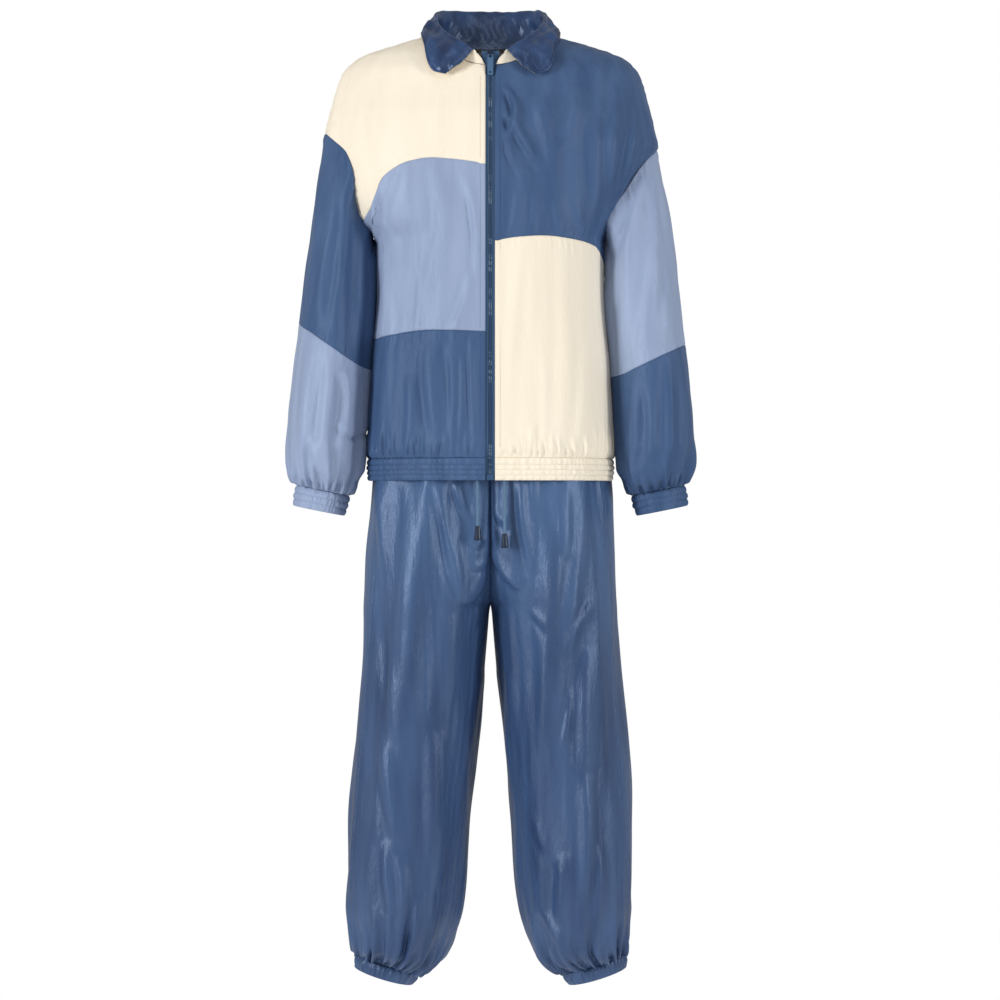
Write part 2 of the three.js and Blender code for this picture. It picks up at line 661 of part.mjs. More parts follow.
function addTrouserHalf(side) {
  const sideShare = (row) => {
    const cut = cutTurn(row);
    return (SIDE_SEAM_TURN - cut) / (360 - 2 * cut);
  };
  const front = legRows.map((row) => [0, ...stepsTo(0, sideShare(row), LEG_FRONT_COLUMNS)]
    .map((share) => legKnot(side, share, row)));
  const back = legRows.map((row) => {
    const from = sideShare(row);
    return [from, ...stepsTo(from, 1, LEG_BACK_COLUMNS)].map((share) => legKnot(side, share, row));
  });
  const edges = { first: HALF_SEAM, last: CLOTH, start: HALF_SEAM, end: HALF_SEAM };
  add(`trouser_front_${side}`, wallGeometry(inset(front, edges), CLOTH), SLATE_BLUE);
  add(`trouser_back_${side}`, wallGeometry(inset(back, edges), CLOTH), SLATE_BLUE);
  add(`leg_cuff_${side}`, bandGeometry(side, {
    ...legRows.at(-1), y: 0, halfDepth: legRows.at(-1).front,
  }, legCuffProfile), SLATE_BLUE);
}

function addWaistband() {
  const columns = WAIST_COLUMNS;
  const heights = [waist.bottom, (waist.bottom + waist.top) / 2, waist.top];
  const points = heights.map((z) => Array.from({ length: columns }, (_, c) => {
    const share = (2 * c) / columns;
    return share <= 1 ? waistPoint('left', share, z) : waistPoint('right', 2 - share, z);
  }));
  const grid = inset(tubeKnots(points), { first: HALF_SEAM });
  add('waistband', wallGeometry(grid, BAND, true), SLATE_BLUE);
}

// The collar: a stand that rises from the neckline, a round fold and a leaf that lies over it. It
// has two layers on either side of one surface: the face, seen on the leaf, and the under side.

const COLLAR_GAP = 0.3; // between the two layers
const COLLAR_LIFT = 0.4; // between the neckline and the stand
const FOLD_RADIUS = 4.5;
const LEAF_BULGE = 4;
const LEAF_RISE = 8.5; // how far the leaf's edge lies off the shoulders
// Stations round the neck: 0 is the centre front, 1 the shoulder and 2 the centre back. The leaf's
// edge is given where it lies over the torso.
const collarRows = [
  { t: 0.066, foldX: 20, foldY: -93, foldZ: -21, leafX: 66, leafZ: -59 },
  { t: 0.3, foldX: 27, foldY: -91, foldZ: -16, leafX: 82, leafZ: -55 },
  { t: 0.55, foldX: 42, foldY: -80, foldZ: -5, leafX: 92, leafZ: -40 },
  { t: 0.78, foldX: 62, foldY: -55, foldZ: 11, leafX: 97, leafZ: -15 },
  { t: 1, foldX: 77, foldY: -18, foldZ: 32, leafX: 102, leafZ: 5 },
  { t: 1.25, foldX: 80, foldY: 18, foldZ: 49, leafX: 102, leafZ: 5 },
  { t: 1.5, foldX: 68, foldY: 50, foldZ: 60, leafX: 85, leafZ: -3 },
  { t: 1.75, foldX: 40, foldY: 70, foldZ: 62, leafX: 51, leafZ: -10 },
  { t: 2, foldX: 0, foldY: 78, foldZ: 62, leafX: 0, leafZ: -14 },
];
const COLLAR_STATIONS = [0.066, 0.22, 0.4, 0.58, 0.76, 0.92, 1.04, 1.18, 1.36, 1.58, 1.8, 2];

// The collar's section at a station, from the neckline to the leaf's edge.
function collarSection(side, t) {
  const read = (name) => curve(collarRows, 't', name)(t);
  const sign = SIDES[side];
  const fold = vec(sign * read('foldX'), read('foldY'), read('foldZ'));
  const leafAngle = torso.angleAt(side, read('leafX'), read('leafZ'));
  const under = torso.at(side, t < 1.1 ? leafAngle : 180 - leafAngle, read('leafZ'));
  const edge = under.point.clone().addScaledVector(under.normal, LEAF_RISE);
  const seam = neckline(side, t).point;
  const up = fold.clone().sub(seam).normalize();
  const out = edge.clone().sub(fold).setZ(0).normalize();
  const down = vec(0, 0, -FOLD_RADIUS);
  const leafTop = fold.clone().addScaledVector(out, 2 * FOLD_RADIUS).add(down);
  const bulge = vec(0, 0, 1).add(out).normalize().multiplyScalar(LEAF_BULGE);
  return [
    seam.clone().addScaledVector(up, COLLAR_LIFT),
    seam.clone().lerp(fold, 0.5),
    fold.clone().add(down),
    fold.clone().addScaledVector(out, FOLD_RADIUS),
    leafTop,
    leafTop.clone().lerp(edge, 0.5).add(bulge),
    edge,
  ];
}

function addCollar() {
  const sections = [
    ...COLLAR_STATIONS.map((t) => collarSection('right', t)),
    ...COLLAR_STATIONS.slice(0, -1).reverse().map((t) => collarSection('left', t)),
  ];
  const rows = sections.length - 1;
  const columns = sections[0].length - 1;
  const grid = sections.map((section, r) => section.map((point, c) => {
    const round = sections[Math.min(r + 1, rows)][c].clone().sub(sections[Math.max(r - 1, 0)][c]);
    const over = section[Math.min(c + 1, columns)].clone().sub(section[Math.max(c - 1, 0)]);
    return knot(point, over.cross(round));
  }));
  const raised = (height) => grid.map((row) => row.map((k) => (
    knot(k.point.clone().addScaledVector(k.normal, height), k.normal))));
  const gap = COLLAR_GAP / 2;
  add('collar_top', wallGeometry(raised(gap + CLOTH), CLOTH), DARK_BLUE);
  add('collar_under', wallGeometry(raised(-gap), CLOTH), CREAM);
}

// The zip: tapes behind the fronts' edges, a chain between them, a slider and its pull tab

const tape = { inner: 2.8, outer: 13, wall: 1, behind: 3, behindBand: 3.8 };
const chain = { halfWidth: 2.4, front: 1.2, wall: 2.6 };
const zipEnds = { top: -22, bottom: -653.6, chainTop: -33.6, chainBottom: -644.6 };
const stop = { width: 10, height: 8.6, wall: 2.6, proud: 1 };
const slider = {
  z: -27.6, width: 8.6, height: 11, plate: 2, backPlate: 1.2, neck: 3.6, gap: 0.5, lean: 12,
};
const bail = { inner: 2, outer: 3.2, width: 2.4, proud: 2.4 };
const pullTab = {
  top: 0.9, length: 31, width: 8.4, wall: 1.6, windowWidth: 3.6, windowEnd: 4.4, holeRadius: 1.5,
  holeUp: 4.2, corner: 1.6,
};
// The tapes' front face beside the collar's stand, above the neckline
const zipTopRows = [{ z: -42, y: -85 }, { z: -33, y: -86.6 }, { z: -22, y: -89 }];
const zipTopY = curve(zipTopRows, 'z', 'y');

const ZIP_STOPS = [-29, -36, -42, -54, -72, -100, -150, -210, -280, -360, -440, -530, -600, -621, -636];

// The front face of the zip's tapes at a height.
function zipFace(z) {
  if (z >= zipTopRows[0].z) return zipTopY(z);
  const body = z < HEM_Z ? hemBand : torso;
  const wall = lerp(tape.behind, tape.behindBand, smoothstep(HEM_Z + 12 - z, 0, 10));
  return body.at('left', body.angleAt('left', ZIP_EDGE, z), z).point.y + wall;
}

// An upright strip of the zip, with its front face a little before the tapes' face.
function stripGeometry(fromX, toX, bottom, top, proud, wall) {
  const between = ZIP_STOPS.filter((z) => z < top - 3 && z > bottom + 3);
  const grid = [top, ...between, bottom].map((z) => [fromX, toX].map((x) => (
    knot(vec(x, zipFace(z) - proud, z), vec(0, -1, 0)))));
  return wallGeometry(grid, wall);
}

// A three.js geometry as a manifold solid, and back.
function toManifold(geometry) {
  const bare = geometry.clone();
  bare.deleteAttribute('normal');
  bare.deleteAttribute('uv');
  const merged = mergeVertices(bare, 1e-4);
  return new wasm.Manifold(new wasm.Mesh({
    numProp: 3,
    vertProperties: Float32Array.from(merged.attributes.position.array),
    triVerts: Uint32Array.from(merged.index.array),
  }));
}

function fromManifold(shape) {
  const mesh = shape.getMesh();
  const geometry = new THREE.BufferGeometry();
  geometry.setAttribute('position', new THREE.Float32BufferAttribute(mesh.vertProperties, 3));
  geometry.setIndex(Array.from(mesh.triVerts));
  geometry.computeVertexNormals();
  return geometry;
}

function roundedRectangle(width, height, corner) {
  const [x, y] = [width / 2, height / 2];
  const shape = new THREE.Shape();
  shape.moveTo(-x + corner, -y);
  shape.lineTo(x - corner, -y).absarc(x - corner, -y + corner, corner, -Math.PI / 2, 0);
  shape.lineTo(x, y - corner).absarc(x - corner, y - corner, corner, 0, Math.PI / 2);
  shape.lineTo(-x + corner, y).absarc(-x + corner, y - corner, corner, Math.PI / 2, Math.PI);
  shape.lineTo(-x, -y + corner).absarc(-x + corner, -y + corner, corner, Math.PI, 1.5 * Math.PI);
  return shape;
}

// An upright plate from an outline in X and Z, with its front face at y.
function uprightPlate(shape, wall, x, frontY, z, curveSegments = 4) {
  const geometry = new THREE.ExtrudeGeometry(shape, {
    depth: wall, bevelEnabled: false, curveSegments,
  });
  return geometry.rotateX(Math.PI / 2).translate(x, frontY + wall, z);
}

// The bail's arch, from a half ring and two legs, in Y and Z, on the slider's front face at 0.
function bailGeometry() {
  const shape = new THREE.Shape();
  const reach = bail.proud + 0.5;
  shape.moveTo(reach, -bail.outer);
  shape.lineTo(0, -bail.outer).absarc(0, 0, bail.outer, -Math.PI / 2, Math.PI / 2, true);
  shape.lineTo(reach, bail.outer).lineTo(reach, bail.inner);
  shape.lineTo(0, bail.inner).absarc(0, 0, bail.inner, Math.PI / 2, -Math.PI / 2, false);
  shape.lineTo(reach, -bail.inner);
  const geometry = new THREE.ExtrudeGeometry(shape, {
    depth: bail.width, bevelEnabled: false, curveSegments: 6,
  });
  return geometry.rotateX(Math.PI / 2).rotateZ(Math.PI / 2)
    .translate(-bail.width / 2, -bail.proud, 0);
}

// The slider leans with the zip. Before that its front face is at 0 in Y and its middle at 0 in Z.
const sliderPlace = new THREE.Matrix4()
  .makeTranslation(0, zipFace(slider.z) - chain.front - slider.gap - slider.plate, slider.z)
  .multiply(new THREE.Matrix4().makeRotationX(radians(slider.lean)));
const pivot = vec(0, -bail.proud, 0).applyMatrix4(sliderPlace);

function sliderGeometry() {
  const { width, height, plate, backPlate, neck, gap } = slider;
  const outline = roundedRectangle(width, height, 2.4);
  const front = uprightPlate(outline, plate, 0, 0, 0);
  const backY = plate + chain.front + tape.wall + 2 * gap;
  const back = uprightPlate(outline, backPlate, 0, backY, 0);
  const middle = new THREE.BoxGeometry(neck, backY, height / 2)
    .translate(0, backY / 2 + backPlate / 2, height / 6);
  const parts = [front, back, middle, bailGeometry()].map(toManifold);
  return fromManifold(parts.reduce((joined, part) => joined.add(part)))
    .applyMatrix4(sliderPlace);
}

function pullTabGeometry() {
  const { top, length, width, wall, windowWidth, windowEnd, holeRadius, holeUp, corner } = pullTab;
  const shape = roundedRectangle(width, length, corner);
  const upper = length / 2 - top; // the pivot's height in the outline
  const window = new THREE.Path();
  const side = windowWidth / 2;
  window.moveTo(-side, upper - windowEnd).lineTo(-side, upper - top);
  window.lineTo(side, upper - top).lineTo(side, upper - windowEnd);
  const hole = new THREE.Path().absarc(0, holeUp - length / 2, holeRadius, 0, 2 * Math.PI, true);
  shape.holes.push(window, hole);
  return uprightPlate(shape, wall, 0, pivot.y - wall / 2, pivot.z - upper);
}

function addZip() {
  for (const [side, sign] of Object.entries(SIDES)) {
    const [from, to] = [sign * tape.inner, sign * tape.outer];
    add(`zip_tape_${side}`, stripGeometry(
      Math.min(from, to), Math.max(from, to), zipEnds.bottom, zipEnds.top, 0, tape.wall,
    ), ZIP_BLUE, 0.7);
  }
  add('zip_chain', stripGeometry(-chain.halfWidth, chain.halfWidth, zipEnds.chainBottom,
    zipEnds.chainTop, chain.front, chain.wall), ZIP_BLUE, 0.4);
  const stopY = zipFace(zipEnds.bottom) - stop.wall - stop.proud;
  add('zip_bottom_stop', uprightPlate(roundedRectangle(stop.width, stop.height, 1.2), stop.wall, 0,
    stopY, zipEnds.bottom + stop.height / 2), ZIP_BLUE, 0.4);
  add('zip_slider', sliderGeometry(), METAL, 0.35, 0.6);
  add('pull_tab', pullTabGeometry(), METAL, 0.35, 0.6);
}

// The drawcord's two ends, out of eyelets in the waistband and down below the jacket's hem

const eyelet = { x: 20, z: -551, outer: 6, inner: 3.2, wall: 1.4, gap: 0.3 };
const CORD_RADIUS = 2.5;
const CORD_SIDES = 10;
const CORD_STEPS = 16;
const END_GAP = 0.3; // between a cord and its end
// From the eyelet out, round a bend and down. x is a distance from the middle.
const cordRoutes = {
  right: [
    { x: 20, y: -113, z: -551 }, { x: 20, y: -116.5, z: -551 }, { x: 20, y: -121.5, z: -552.5 },
    { x: 20, y: -126, z: -557 }, { x: 19.8, y: -128, z: -564 }, { x: 19.6, y: -128.3, z: -580 },
    { x: 19.2, y: -128.3, z: -610 }, { x: 18.8, y: -128.2, z: -645 }, { x: 18.4, y: -128, z: -680 },
    { x: 18.2, y: -128, z: -705 }, { x: 18.2, y: -128, z: -720 },
  ],
  left: [
    { x: 20, y: -113, z: -551 }, { x: 20, y: -116.5, z: -551 }, { x: 20, y: -121.5, z: -552.5 },
    { x: 20, y: -126, z: -557 }, { x: 20.2, y: -128, z: -564 }, { x: 20.4, y: -128.3, z: -580 },
    { x: 20.7, y: -128.3, z: -610 }, { x: 21, y: -128.2, z: -645 }, { x: 21.2, y: -128, z: -680 },
    { x: 21.2, y: -128, z: -710 }, { x: 21.2, y: -128, z: -731 },
  ],
};
// The bell-shaped cord end, from its foot up, as a radius at each depth below the cord.
const cordEndRows = [
  { depth: 21.2, radius: 0 }, { depth: 21.2, radius: 4.2 }, { depth: 20.4, radius: 5.2 },
  { depth: 17, radius: 5.3 }, { depth: 10, radius: 4.3 }, { depth: 3, radius: 3.9 },
  { depth: 0, radius: 3.3 }, { depth: 0, radius: 0 },
];

function latheGeometry(profile, segments) {
  const points = profile.map(([radius, height]) => new THREE.Vector2(radius, height));
  return new THREE.LatheGeometry(points, segments);
}

function addDrawcords() {
  for (const [side, sign] of Object.entries(SIDES)) {
    const front = -waist.depth * (1 - (eyelet.x / waist.halfWidth) ** SQUARENESS)
      ** (1 / SQUARENESS) - eyelet.gap;
    const ring = latheGeometry([
      [eyelet.inner, 0], [eyelet.outer, 0], [eyelet.outer - 0.4, eyelet.wall],
      [eyelet.inner + 0.4, eyelet.wall], [eyelet.inner, 0],
    ], 24).rotateX(Math.PI).translate(sign * eyelet.x, front, eyelet.z);
    add(`eyelet_${side}`, ring, METAL, 0.35, 0.8);

    const route = cordRoutes[side].map(({ x, y, z }) => vec(sign * x, y, z));
    const section = new THREE.Shape(Array.from({ length: CORD_SIDES }, (_, i) => {
      const turn = (2 * Math.PI * i) / CORD_SIDES;
      return new THREE.Vector2(CORD_RADIUS * Math.cos(turn), CORD_RADIUS * Math.sin(turn));
    }));
    add(`drawcord_${side}`, new THREE.ExtrudeGeometry(section, {
      steps: CORD_STEPS, extrudePath: new THREE.CatmullRomCurve3(route), bevelEnabled: false,
    }), SLATE_BLUE, 0.8);

    const { x, y, z } = cordRoutes[side].at(-1);
    const end = latheGeometry(cordEndRows.map(({ depth, radius }) => [radius, -depth]), 16)
      .rotateX(Math.PI / 2).translate(sign * x, y, z - END_GAP);
    add(`cord_end_${side}`, end, SLATE_BLUE, 0.4);
  }
}

addFronts();
addBack();
addHemBand();
addSleeves();
addCollar();
addZip();
addTrouserHalf('right');
addTrouserHalf('left');
addWaistband();
addDrawcords();

export default model;
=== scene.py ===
"""A colour-blocked tracksuit, filled out with no wearer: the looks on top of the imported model.

Shapes are worked out in millimetres, in the part's frame, and written to Blender in metres. +X is
the wearer's left, -Y the front and +Z up. The jacket and the trousers repeat the part's surfaces at
a finer step, and folds, gathers and puckers move their points along the surface's normals."""
import math

import bpy
import numpy as np
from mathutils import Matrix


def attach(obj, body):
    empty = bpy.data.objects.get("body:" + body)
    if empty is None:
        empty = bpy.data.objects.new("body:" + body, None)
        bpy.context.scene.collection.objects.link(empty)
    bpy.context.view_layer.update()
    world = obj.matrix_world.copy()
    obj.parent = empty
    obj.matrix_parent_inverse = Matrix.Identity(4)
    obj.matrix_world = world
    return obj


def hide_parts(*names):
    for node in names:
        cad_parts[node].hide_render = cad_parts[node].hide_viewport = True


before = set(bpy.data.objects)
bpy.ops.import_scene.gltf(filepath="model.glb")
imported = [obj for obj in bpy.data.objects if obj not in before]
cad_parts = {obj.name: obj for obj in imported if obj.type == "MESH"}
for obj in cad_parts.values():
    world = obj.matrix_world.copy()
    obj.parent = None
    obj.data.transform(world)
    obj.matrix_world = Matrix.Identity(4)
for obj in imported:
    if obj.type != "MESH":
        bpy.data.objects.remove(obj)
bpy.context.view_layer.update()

MM = 0.001
BODY = "suit"
RIGHT, LEFT = -1, 1
SIDES = {"right": RIGHT, "left": LEFT}

# The camera: level, straight on and far away

CAMERA_AT = (0.01425, -4.5, -0.6825)
CAMERA_LENS = 108
CAMERA_SENSOR = 36

camera_data = bpy.data.cameras.new("camera")
camera_data.lens = CAMERA_LENS
camera_data.sensor_width = CAMERA_SENSOR
camera = bpy.data.objects.new("camera", camera_data)
camera.location = CAMERA_AT
camera.rotation_euler = (math.radians(90), 0, 0)
bpy.context.scene.collection.objects.link(camera)
bpy.context.scene.camera = camera

# The drawcord's two ends, from the eyelets down, with x as a distance from the middle

CORD_DIAMETER = 5
CORD_ROUTES = {
    "right": [(20, -113, -551), (20, -116.5, -551), (20, -121.5, -552.5), (20, -126, -557),
              (19.8, -128, -564), (19.6, -128.3, -580), (19.2, -128.3, -610),
              (18.8, -128.2, -645), (18.4, -128, -680), (18.2, -128, -705), (18.2, -128, -720)],
    "left": [(20, -113, -551), (20, -116.5, -551), (20, -121.5, -552.5), (20, -126, -557),
             (20.2, -128, -564), (20.4, -128.3, -580), (20.7, -128.3, -610),
             (21, -128.2, -645), (21.2, -128, -680), (21.2, -128, -710), (21.2, -128, -731)],
}

cords = {}
for side_name, sign in SIDES.items():
    route = [np.array((sign * x, y, z)) * MM for x, y, z in CORD_ROUTES[side_name]]
    cord_curve = bpy.data.curves.new(f"cord_{side_name}", "CURVE")
    cord_curve.dimensions = "3D"
    cord_curve.bevel_depth = 1
    cord_curve.bevel_resolution = 4
    cord_curve.use_fill_caps = True
    spline = cord_curve.splines.new("POLY")
    spline.points.add(len(route) - 1)
    for point, place in zip(spline.points, route):
        point.co = (*place, 1)
        point.radius = CORD_DIAMETER / 2 * MM
    cord_object = bpy.data.objects.new(f"cord_{side_name}", cord_curve)
    bpy.context.scene.collection.objects.link(cord_object)
    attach(cord_object, BODY)
    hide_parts(f"drawcord_{side_name}")
    cords[side_name] = cord_object


# Curves and tables

def table(columns, *rows):
    """A short table, as one array for each named column."""
    return {name: np.array(values, float) for name, values in zip(columns.split(), zip(*rows))}


def hermite(t, width, start, start_slope, end, end_slope):
    """The cubic between two values with a slope at each. t is the way between them, from 0 to 1."""
    return ((2 * t**3 - 3 * t**2 + 1) * start + (t**3 - 2 * t**2 + t) * width * start_slope
            + (3 * t**2 - 2 * t**3) * end + (t**3 - t**2) * width * end_slope)


def curve(rows, key, column):
    """A smooth curve through a table's rows that never overshoots them."""
    order = np.argsort(rows[key])
    x, y = rows[key][order], rows[column][order]
    slope = np.diff(y) / np.diff(x)
    tangent = np.concatenate([slope[:1], np.zeros(len(x) - 2), slope[-1:]])
    same = slope[:-1] * slope[1:] > 0
    pair = np.where(same, slope[:-1] + slope[1:], 1)
    tangent[1:-1] = np.where(same, 2 * slope[:-1] * slope[1:] / pair, 0)

    def read(at):
        at = np.clip(at, x[0], x[-1])
        i = np.clip(np.searchsorted(x, at, side="right") - 1, 0, len(x) - 2)
        width = x[i + 1] - x[i]
        t = (at - x[i]) / width
        return hermite(t, width, y[i], tangent[i], y[i + 1], tangent[i + 1])
    return read


def smoothstep(x, low, high):
    t = np.clip((x - low) / (high - low), 0, 1)
    return t * t * (3 - 2 * t)


def lerp(a, b, t):
    return a + (b - a) * t


def normalised(v):
    return v / np.maximum(np.linalg.norm(v, axis=-1, keepdims=True), 1e-9)


def stacked(*parts):
    return np.stack(np.broadcast_arrays(*parts), axis=-1)


SOLVE_STEPS = 40


def solve(f, low, high, shape):
    """Finds where a rising f is 0, at each column."""
    low, high = np.full(shape, float(low)), np.full(shape, float(high))
    for _ in range(SOLVE_STEPS):
        middle = (low + high) / 2
        below = f(middle) < 0
        low, high = np.where(below, middle, low), np.where(below, high, middle)
    return (low + high) / 2


# The torso's surface: at each height a rounded box. The angle is 0 at the centre front, 90 at the
# side and 180 at the centre back.

SQUARENESS = 2.4
TORSO = table(
    "z right left front back",
    (18, 78, 78, 30, 40),
    (13, 93, 93, 37, 56),
    (8, 110, 110, 43, 62),
    (1.5, 131, 131, 52, 69),
    (-4.5, 149, 149, 58, 73),
    (-10.5, 168, 168, 64, 77),
    (-16.5, 186, 186, 69, 81),
    (-22.5, 199, 199, 74, 84),
    (-45, 222, 222, 89, 94),
    (-67.5, 231, 231, 95.5, 101),
    (-90, 237, 237, 102, 106),
    (-112.5, 243, 243, 109, 110),
    (-135, 247.5, 247.5, 113, 113),
    (-153, 249, 252, 115.5, 115),
    (-172, 247, 244, 118, 116.5),
    (-200, 238, 228, 121, 118),
    (-232, 222, 208, 124, 118),
    (-265, 199, 187, 126, 118),
    (-300, 171, 170, 128, 118),
    (-382, 171, 171, 131, 116),
    (-427, 174, 174, 133, 117),
    (-472, 179, 179, 135, 118),
    (-517, 182, 182, 137, 121),
    (-562, 185, 185, 139, 128),
    (-607, 187, 186, 141, 134),
    (-621, 183, 183, 139, 132),
)
HEM_BAND = table(
    "z right left front back",
    (-621, 183, 183, 139, 132),
    (-632, 184.5, 184.5, 139, 133),
    (-643, 184, 184, 138.5, 133),
    (-654, 182.5, 182.5, 137, 132),
)


class RoundedBody:
    """A surface of rounded boxes from a table of half widths and depths."""

    def __init__(self, rows):
        self.half = {RIGHT: curve(rows, "z", "right"), LEFT: curve(rows, "z", "left")}
        self.front, self.back = curve(rows, "z", "front"), curve(rows, "z", "back")

    def width(self, side, z):
        return np.where(side < 0, self.half[RIGHT](z), self.half[LEFT](z))

    def depth(self, angle, z):
        return np.where(angle < 90, self.front(z), self.back(z))

    def x_at(self, side, angle, z):
        return self.width(side, z) * np.abs(np.sin(np.radians(angle))) ** (2 / SQUARENESS)

    def angle_at(self, side, x, z):
        ratio = np.minimum(1, x / self.width(side, z))
        return np.degrees(np.arcsin(ratio ** (SQUARENESS / 2)))

    def at(self, side, angle, z):
        """The points and the outward normals at angles and heights."""
        side, angle, z = np.broadcast_arrays(side, angle, z)
        front = np.where(angle < 90, -1.0, 1.0)
        wide, deep = self.width(side, z), self.depth(angle, z)
        x = self.x_at(side, angle, z)
        y = front * deep * np.abs(np.cos(np.radians(angle))) ** (2 / SQUARENESS)
        dz = 0.5
        grow_wide = (self.width(side, z + dz) - self.width(side, z - dz)) / (2 * dz)
        grow_deep = (self.depth(angle, z + dz) - self.depth(angle, z - dz)) / (2 * dz)
        u, v = x / wide, np.abs(y) / deep
        normal = stacked(
            side * u ** (SQUARENESS - 1) / wide,
            front * v ** (SQUARENESS - 1) / deep,
            -(u**SQUARENESS * grow_wide) / wide - (v**SQUARENESS * grow_deep) / deep,
        )
        return stacked(side * x, y, z), normalised(normal)


torso = RoundedBody(TORSO)
hem_band = RoundedBody(HEM_BAND)

# Where the jacket's pieces meet

ZIP_EDGE = 7.2
HEM_Z = -621
BLOUSE_Z = -607
NECK_HALF_WIDTH, NECK_SHOULDER_Z, NECK_FRONT_DROP, NECK_BACK_DROP = 78, 18, 60, 10
SIDE_SEAM_ANGLE, SIDE_SEAM_FADE = 98, 80
UNDERARM_Z = -300
ARMHOLE_TOP_Z = {RIGHT: -135, LEFT: -160}
ARMHOLE = {
    RIGHT: table("z x", (-135, 247.5), (-153, 228.7), (-172, 211), (-200, 203), (-217, 202),
                 (-250, 196), (-265, 190), (-282, 179), (-300, 171)),
    LEFT: table("z x", (-160, 250), (-172, 237), (-190, 222), (-225, 199), (-252, 180),
                (-268, 173), (-300, 170)),
}
armhole_x = {side: curve(rows, "z", "x") for side, rows in ARMHOLE.items()}
SEAM_RIGHT_HIGH = table("x z", (7, -191), (44, -185), (88, -181.5), (125, -188), (154, -205),
                        (163, -216), (170, -238), (186, -268))
SEAM_RIGHT_LOW = table("x z", (7, -436.5), (88, -434), (178, -444))
SEAM_LEFT_HIGH = table("x z", (7, -304), (44, -298), (80, -296), (118, -299), (155, -307),
                       (166, -322), (171, -335))


def side_seam_angle(z):
    return lerp(90, SIDE_SEAM_ANGLE, smoothstep(UNDERARM_Z - z, 0, SIDE_SEAM_FADE))


def armhole_z(side, turn):
    top = ARMHOLE_TOP_Z[side]
    return lerp(top, UNDERARM_Z, (1 - np.cos(np.radians(turn))) / 2)


def armhole_angle(side, z):
    return torso.angle_at(side, armhole_x[side](z), z)


def neckline(side, t):
    """The neckline's points: t is 0 in front, 1 at the shoulder and 2 at the back."""
    turn = np.radians(90 * np.where(t < 1, t, 2 - t))
    drop = np.where(t < 1, NECK_FRONT_DROP, NECK_BACK_DROP)
    z = NECK_SHOULDER_Z - drop * np.cos(turn)
    angle = torso.angle_at(side, NECK_HALF_WIDTH * np.sin(turn), z)
    return torso.at(side, np.where(t < 1, angle, 180 - angle), z)[0]


# Rows of the jacket's panels, from an inner end to an outer end, each an angle and a height. They
# come in stretches: how many rows, the height on the zip that they climb to, and at the outer end
# the height on the side seam or the turn round the armhole.

FRONT_STRETCHES = {
    RIGHT: [(6, BLOUSE_Z, BLOUSE_Z, None), (46, -436.5, -446, None), (40, -289, -300, None),
            (14, -191, None, 135), (44, -42, None, 0)],
    LEFT: [(6, BLOUSE_Z, BLOUSE_Z, None), (72, -304, -335, None), (14, -250, -300, None),
           (58, -42, None, 0)],
}
# Each front panel: its side, its first and last row, and the seams below and above it

PANEL_ROWS = {
    "front_right_bottom": (RIGHT, 0, 52, None, SEAM_RIGHT_LOW),
    "front_right_middle": (RIGHT, 52, 106, SEAM_RIGHT_LOW, SEAM_RIGHT_HIGH),
    "front_right_top": (RIGHT, 106, None, SEAM_RIGHT_HIGH, None),
    "front_left_bottom": (LEFT, 0, 78, None, SEAM_LEFT_HIGH),
    "front_left_top": (LEFT, 78, None, SEAM_LEFT_HIGH, None),
}
# Rows over the shoulder: how far round the neckline each starts, and the height where it ends.
# None stands for the top of the armhole.

SHOULDER = [(0.06, None), (0.2, -90), (0.42, -45), (0.64, -16.5), (0.84, -1), (0.985, 15.5)]
SHOULDER_ROWS = 44
SEAM_FADE = 0.03
FRONT_COLUMNS = 136
BACK_COLUMNS = 170


def front_rows(side):
    """The inner and outer ends of a front's rows, from the hem to the neck."""
    inner, outer = [], []

    def add(inner_z, end):
        inner.append((float(torso.angle_at(side, ZIP_EDGE, inner_z)), inner_z))
        outer.append(end)

    add(HEM_Z, (float(side_seam_angle(HEM_Z)), HEM_Z))
    inner_z, side_z, turn = HEM_Z, HEM_Z, 180
    for count, to_inner, to_side, to_turn in FRONT_STRETCHES[side]:
        for t in np.arange(1, count + 1) / count:
            if to_turn is None:
                z = lerp(side_z, to_side, t)
                add(lerp(inner_z, to_inner, t), (float(side_seam_angle(z)), z))
            else:
                z = lerp(float(armhole_z(side, turn)), float(armhole_z(side, to_turn)), t)
                add(lerp(inner_z, to_inner, t), (float(armhole_angle(side, z)), z))
        inner_z = to_inner
        side_z = to_side if to_side is not None else side_z
        turn = to_turn if to_turn is not None else turn
    steps = table("step t z", *[(i, t, ARMHOLE_TOP_Z[side] if z is None else z)
                                for i, (t, z) in enumerate(SHOULDER)])
    t_of, z_of = curve(steps, "step", "t"), curve(steps, "step", "z")
    for step in np.linspace(0, len(SHOULDER) - 1, SHOULDER_ROWS + 1)[1:]:
        turn_here = np.radians(90 * t_of(step))
        z = NECK_SHOULDER_Z - NECK_FRONT_DROP * np.cos(turn_here)
        inner.append((float(torso.angle_at(side, NECK_HALF_WIDTH * np.sin(turn_here), z)), z))
        outer.append((90.0, float(z_of(step))))
    return np.array(inner, float), np.array(outer, float)


def seam_rise(side, inner, outer, seam):
    """How far a seam lies above the straight line between a row's ends, at each column."""
    v = np.linspace(0, 1, FRONT_COLUMNS + 1)
    angle, line = lerp(inner[0], outer[0], v), lerp(inner[1], outer[1], v)
    seam_z = curve(seam, "x", "z")
    z = solve(lambda h: h - seam_z(torso.x_at(side, angle, h)), HEM_Z, 0, v.shape)
    return (z - line) * smoothstep(v, 0, SEAM_FADE) * smoothstep(1 - v, 0, SEAM_FADE)


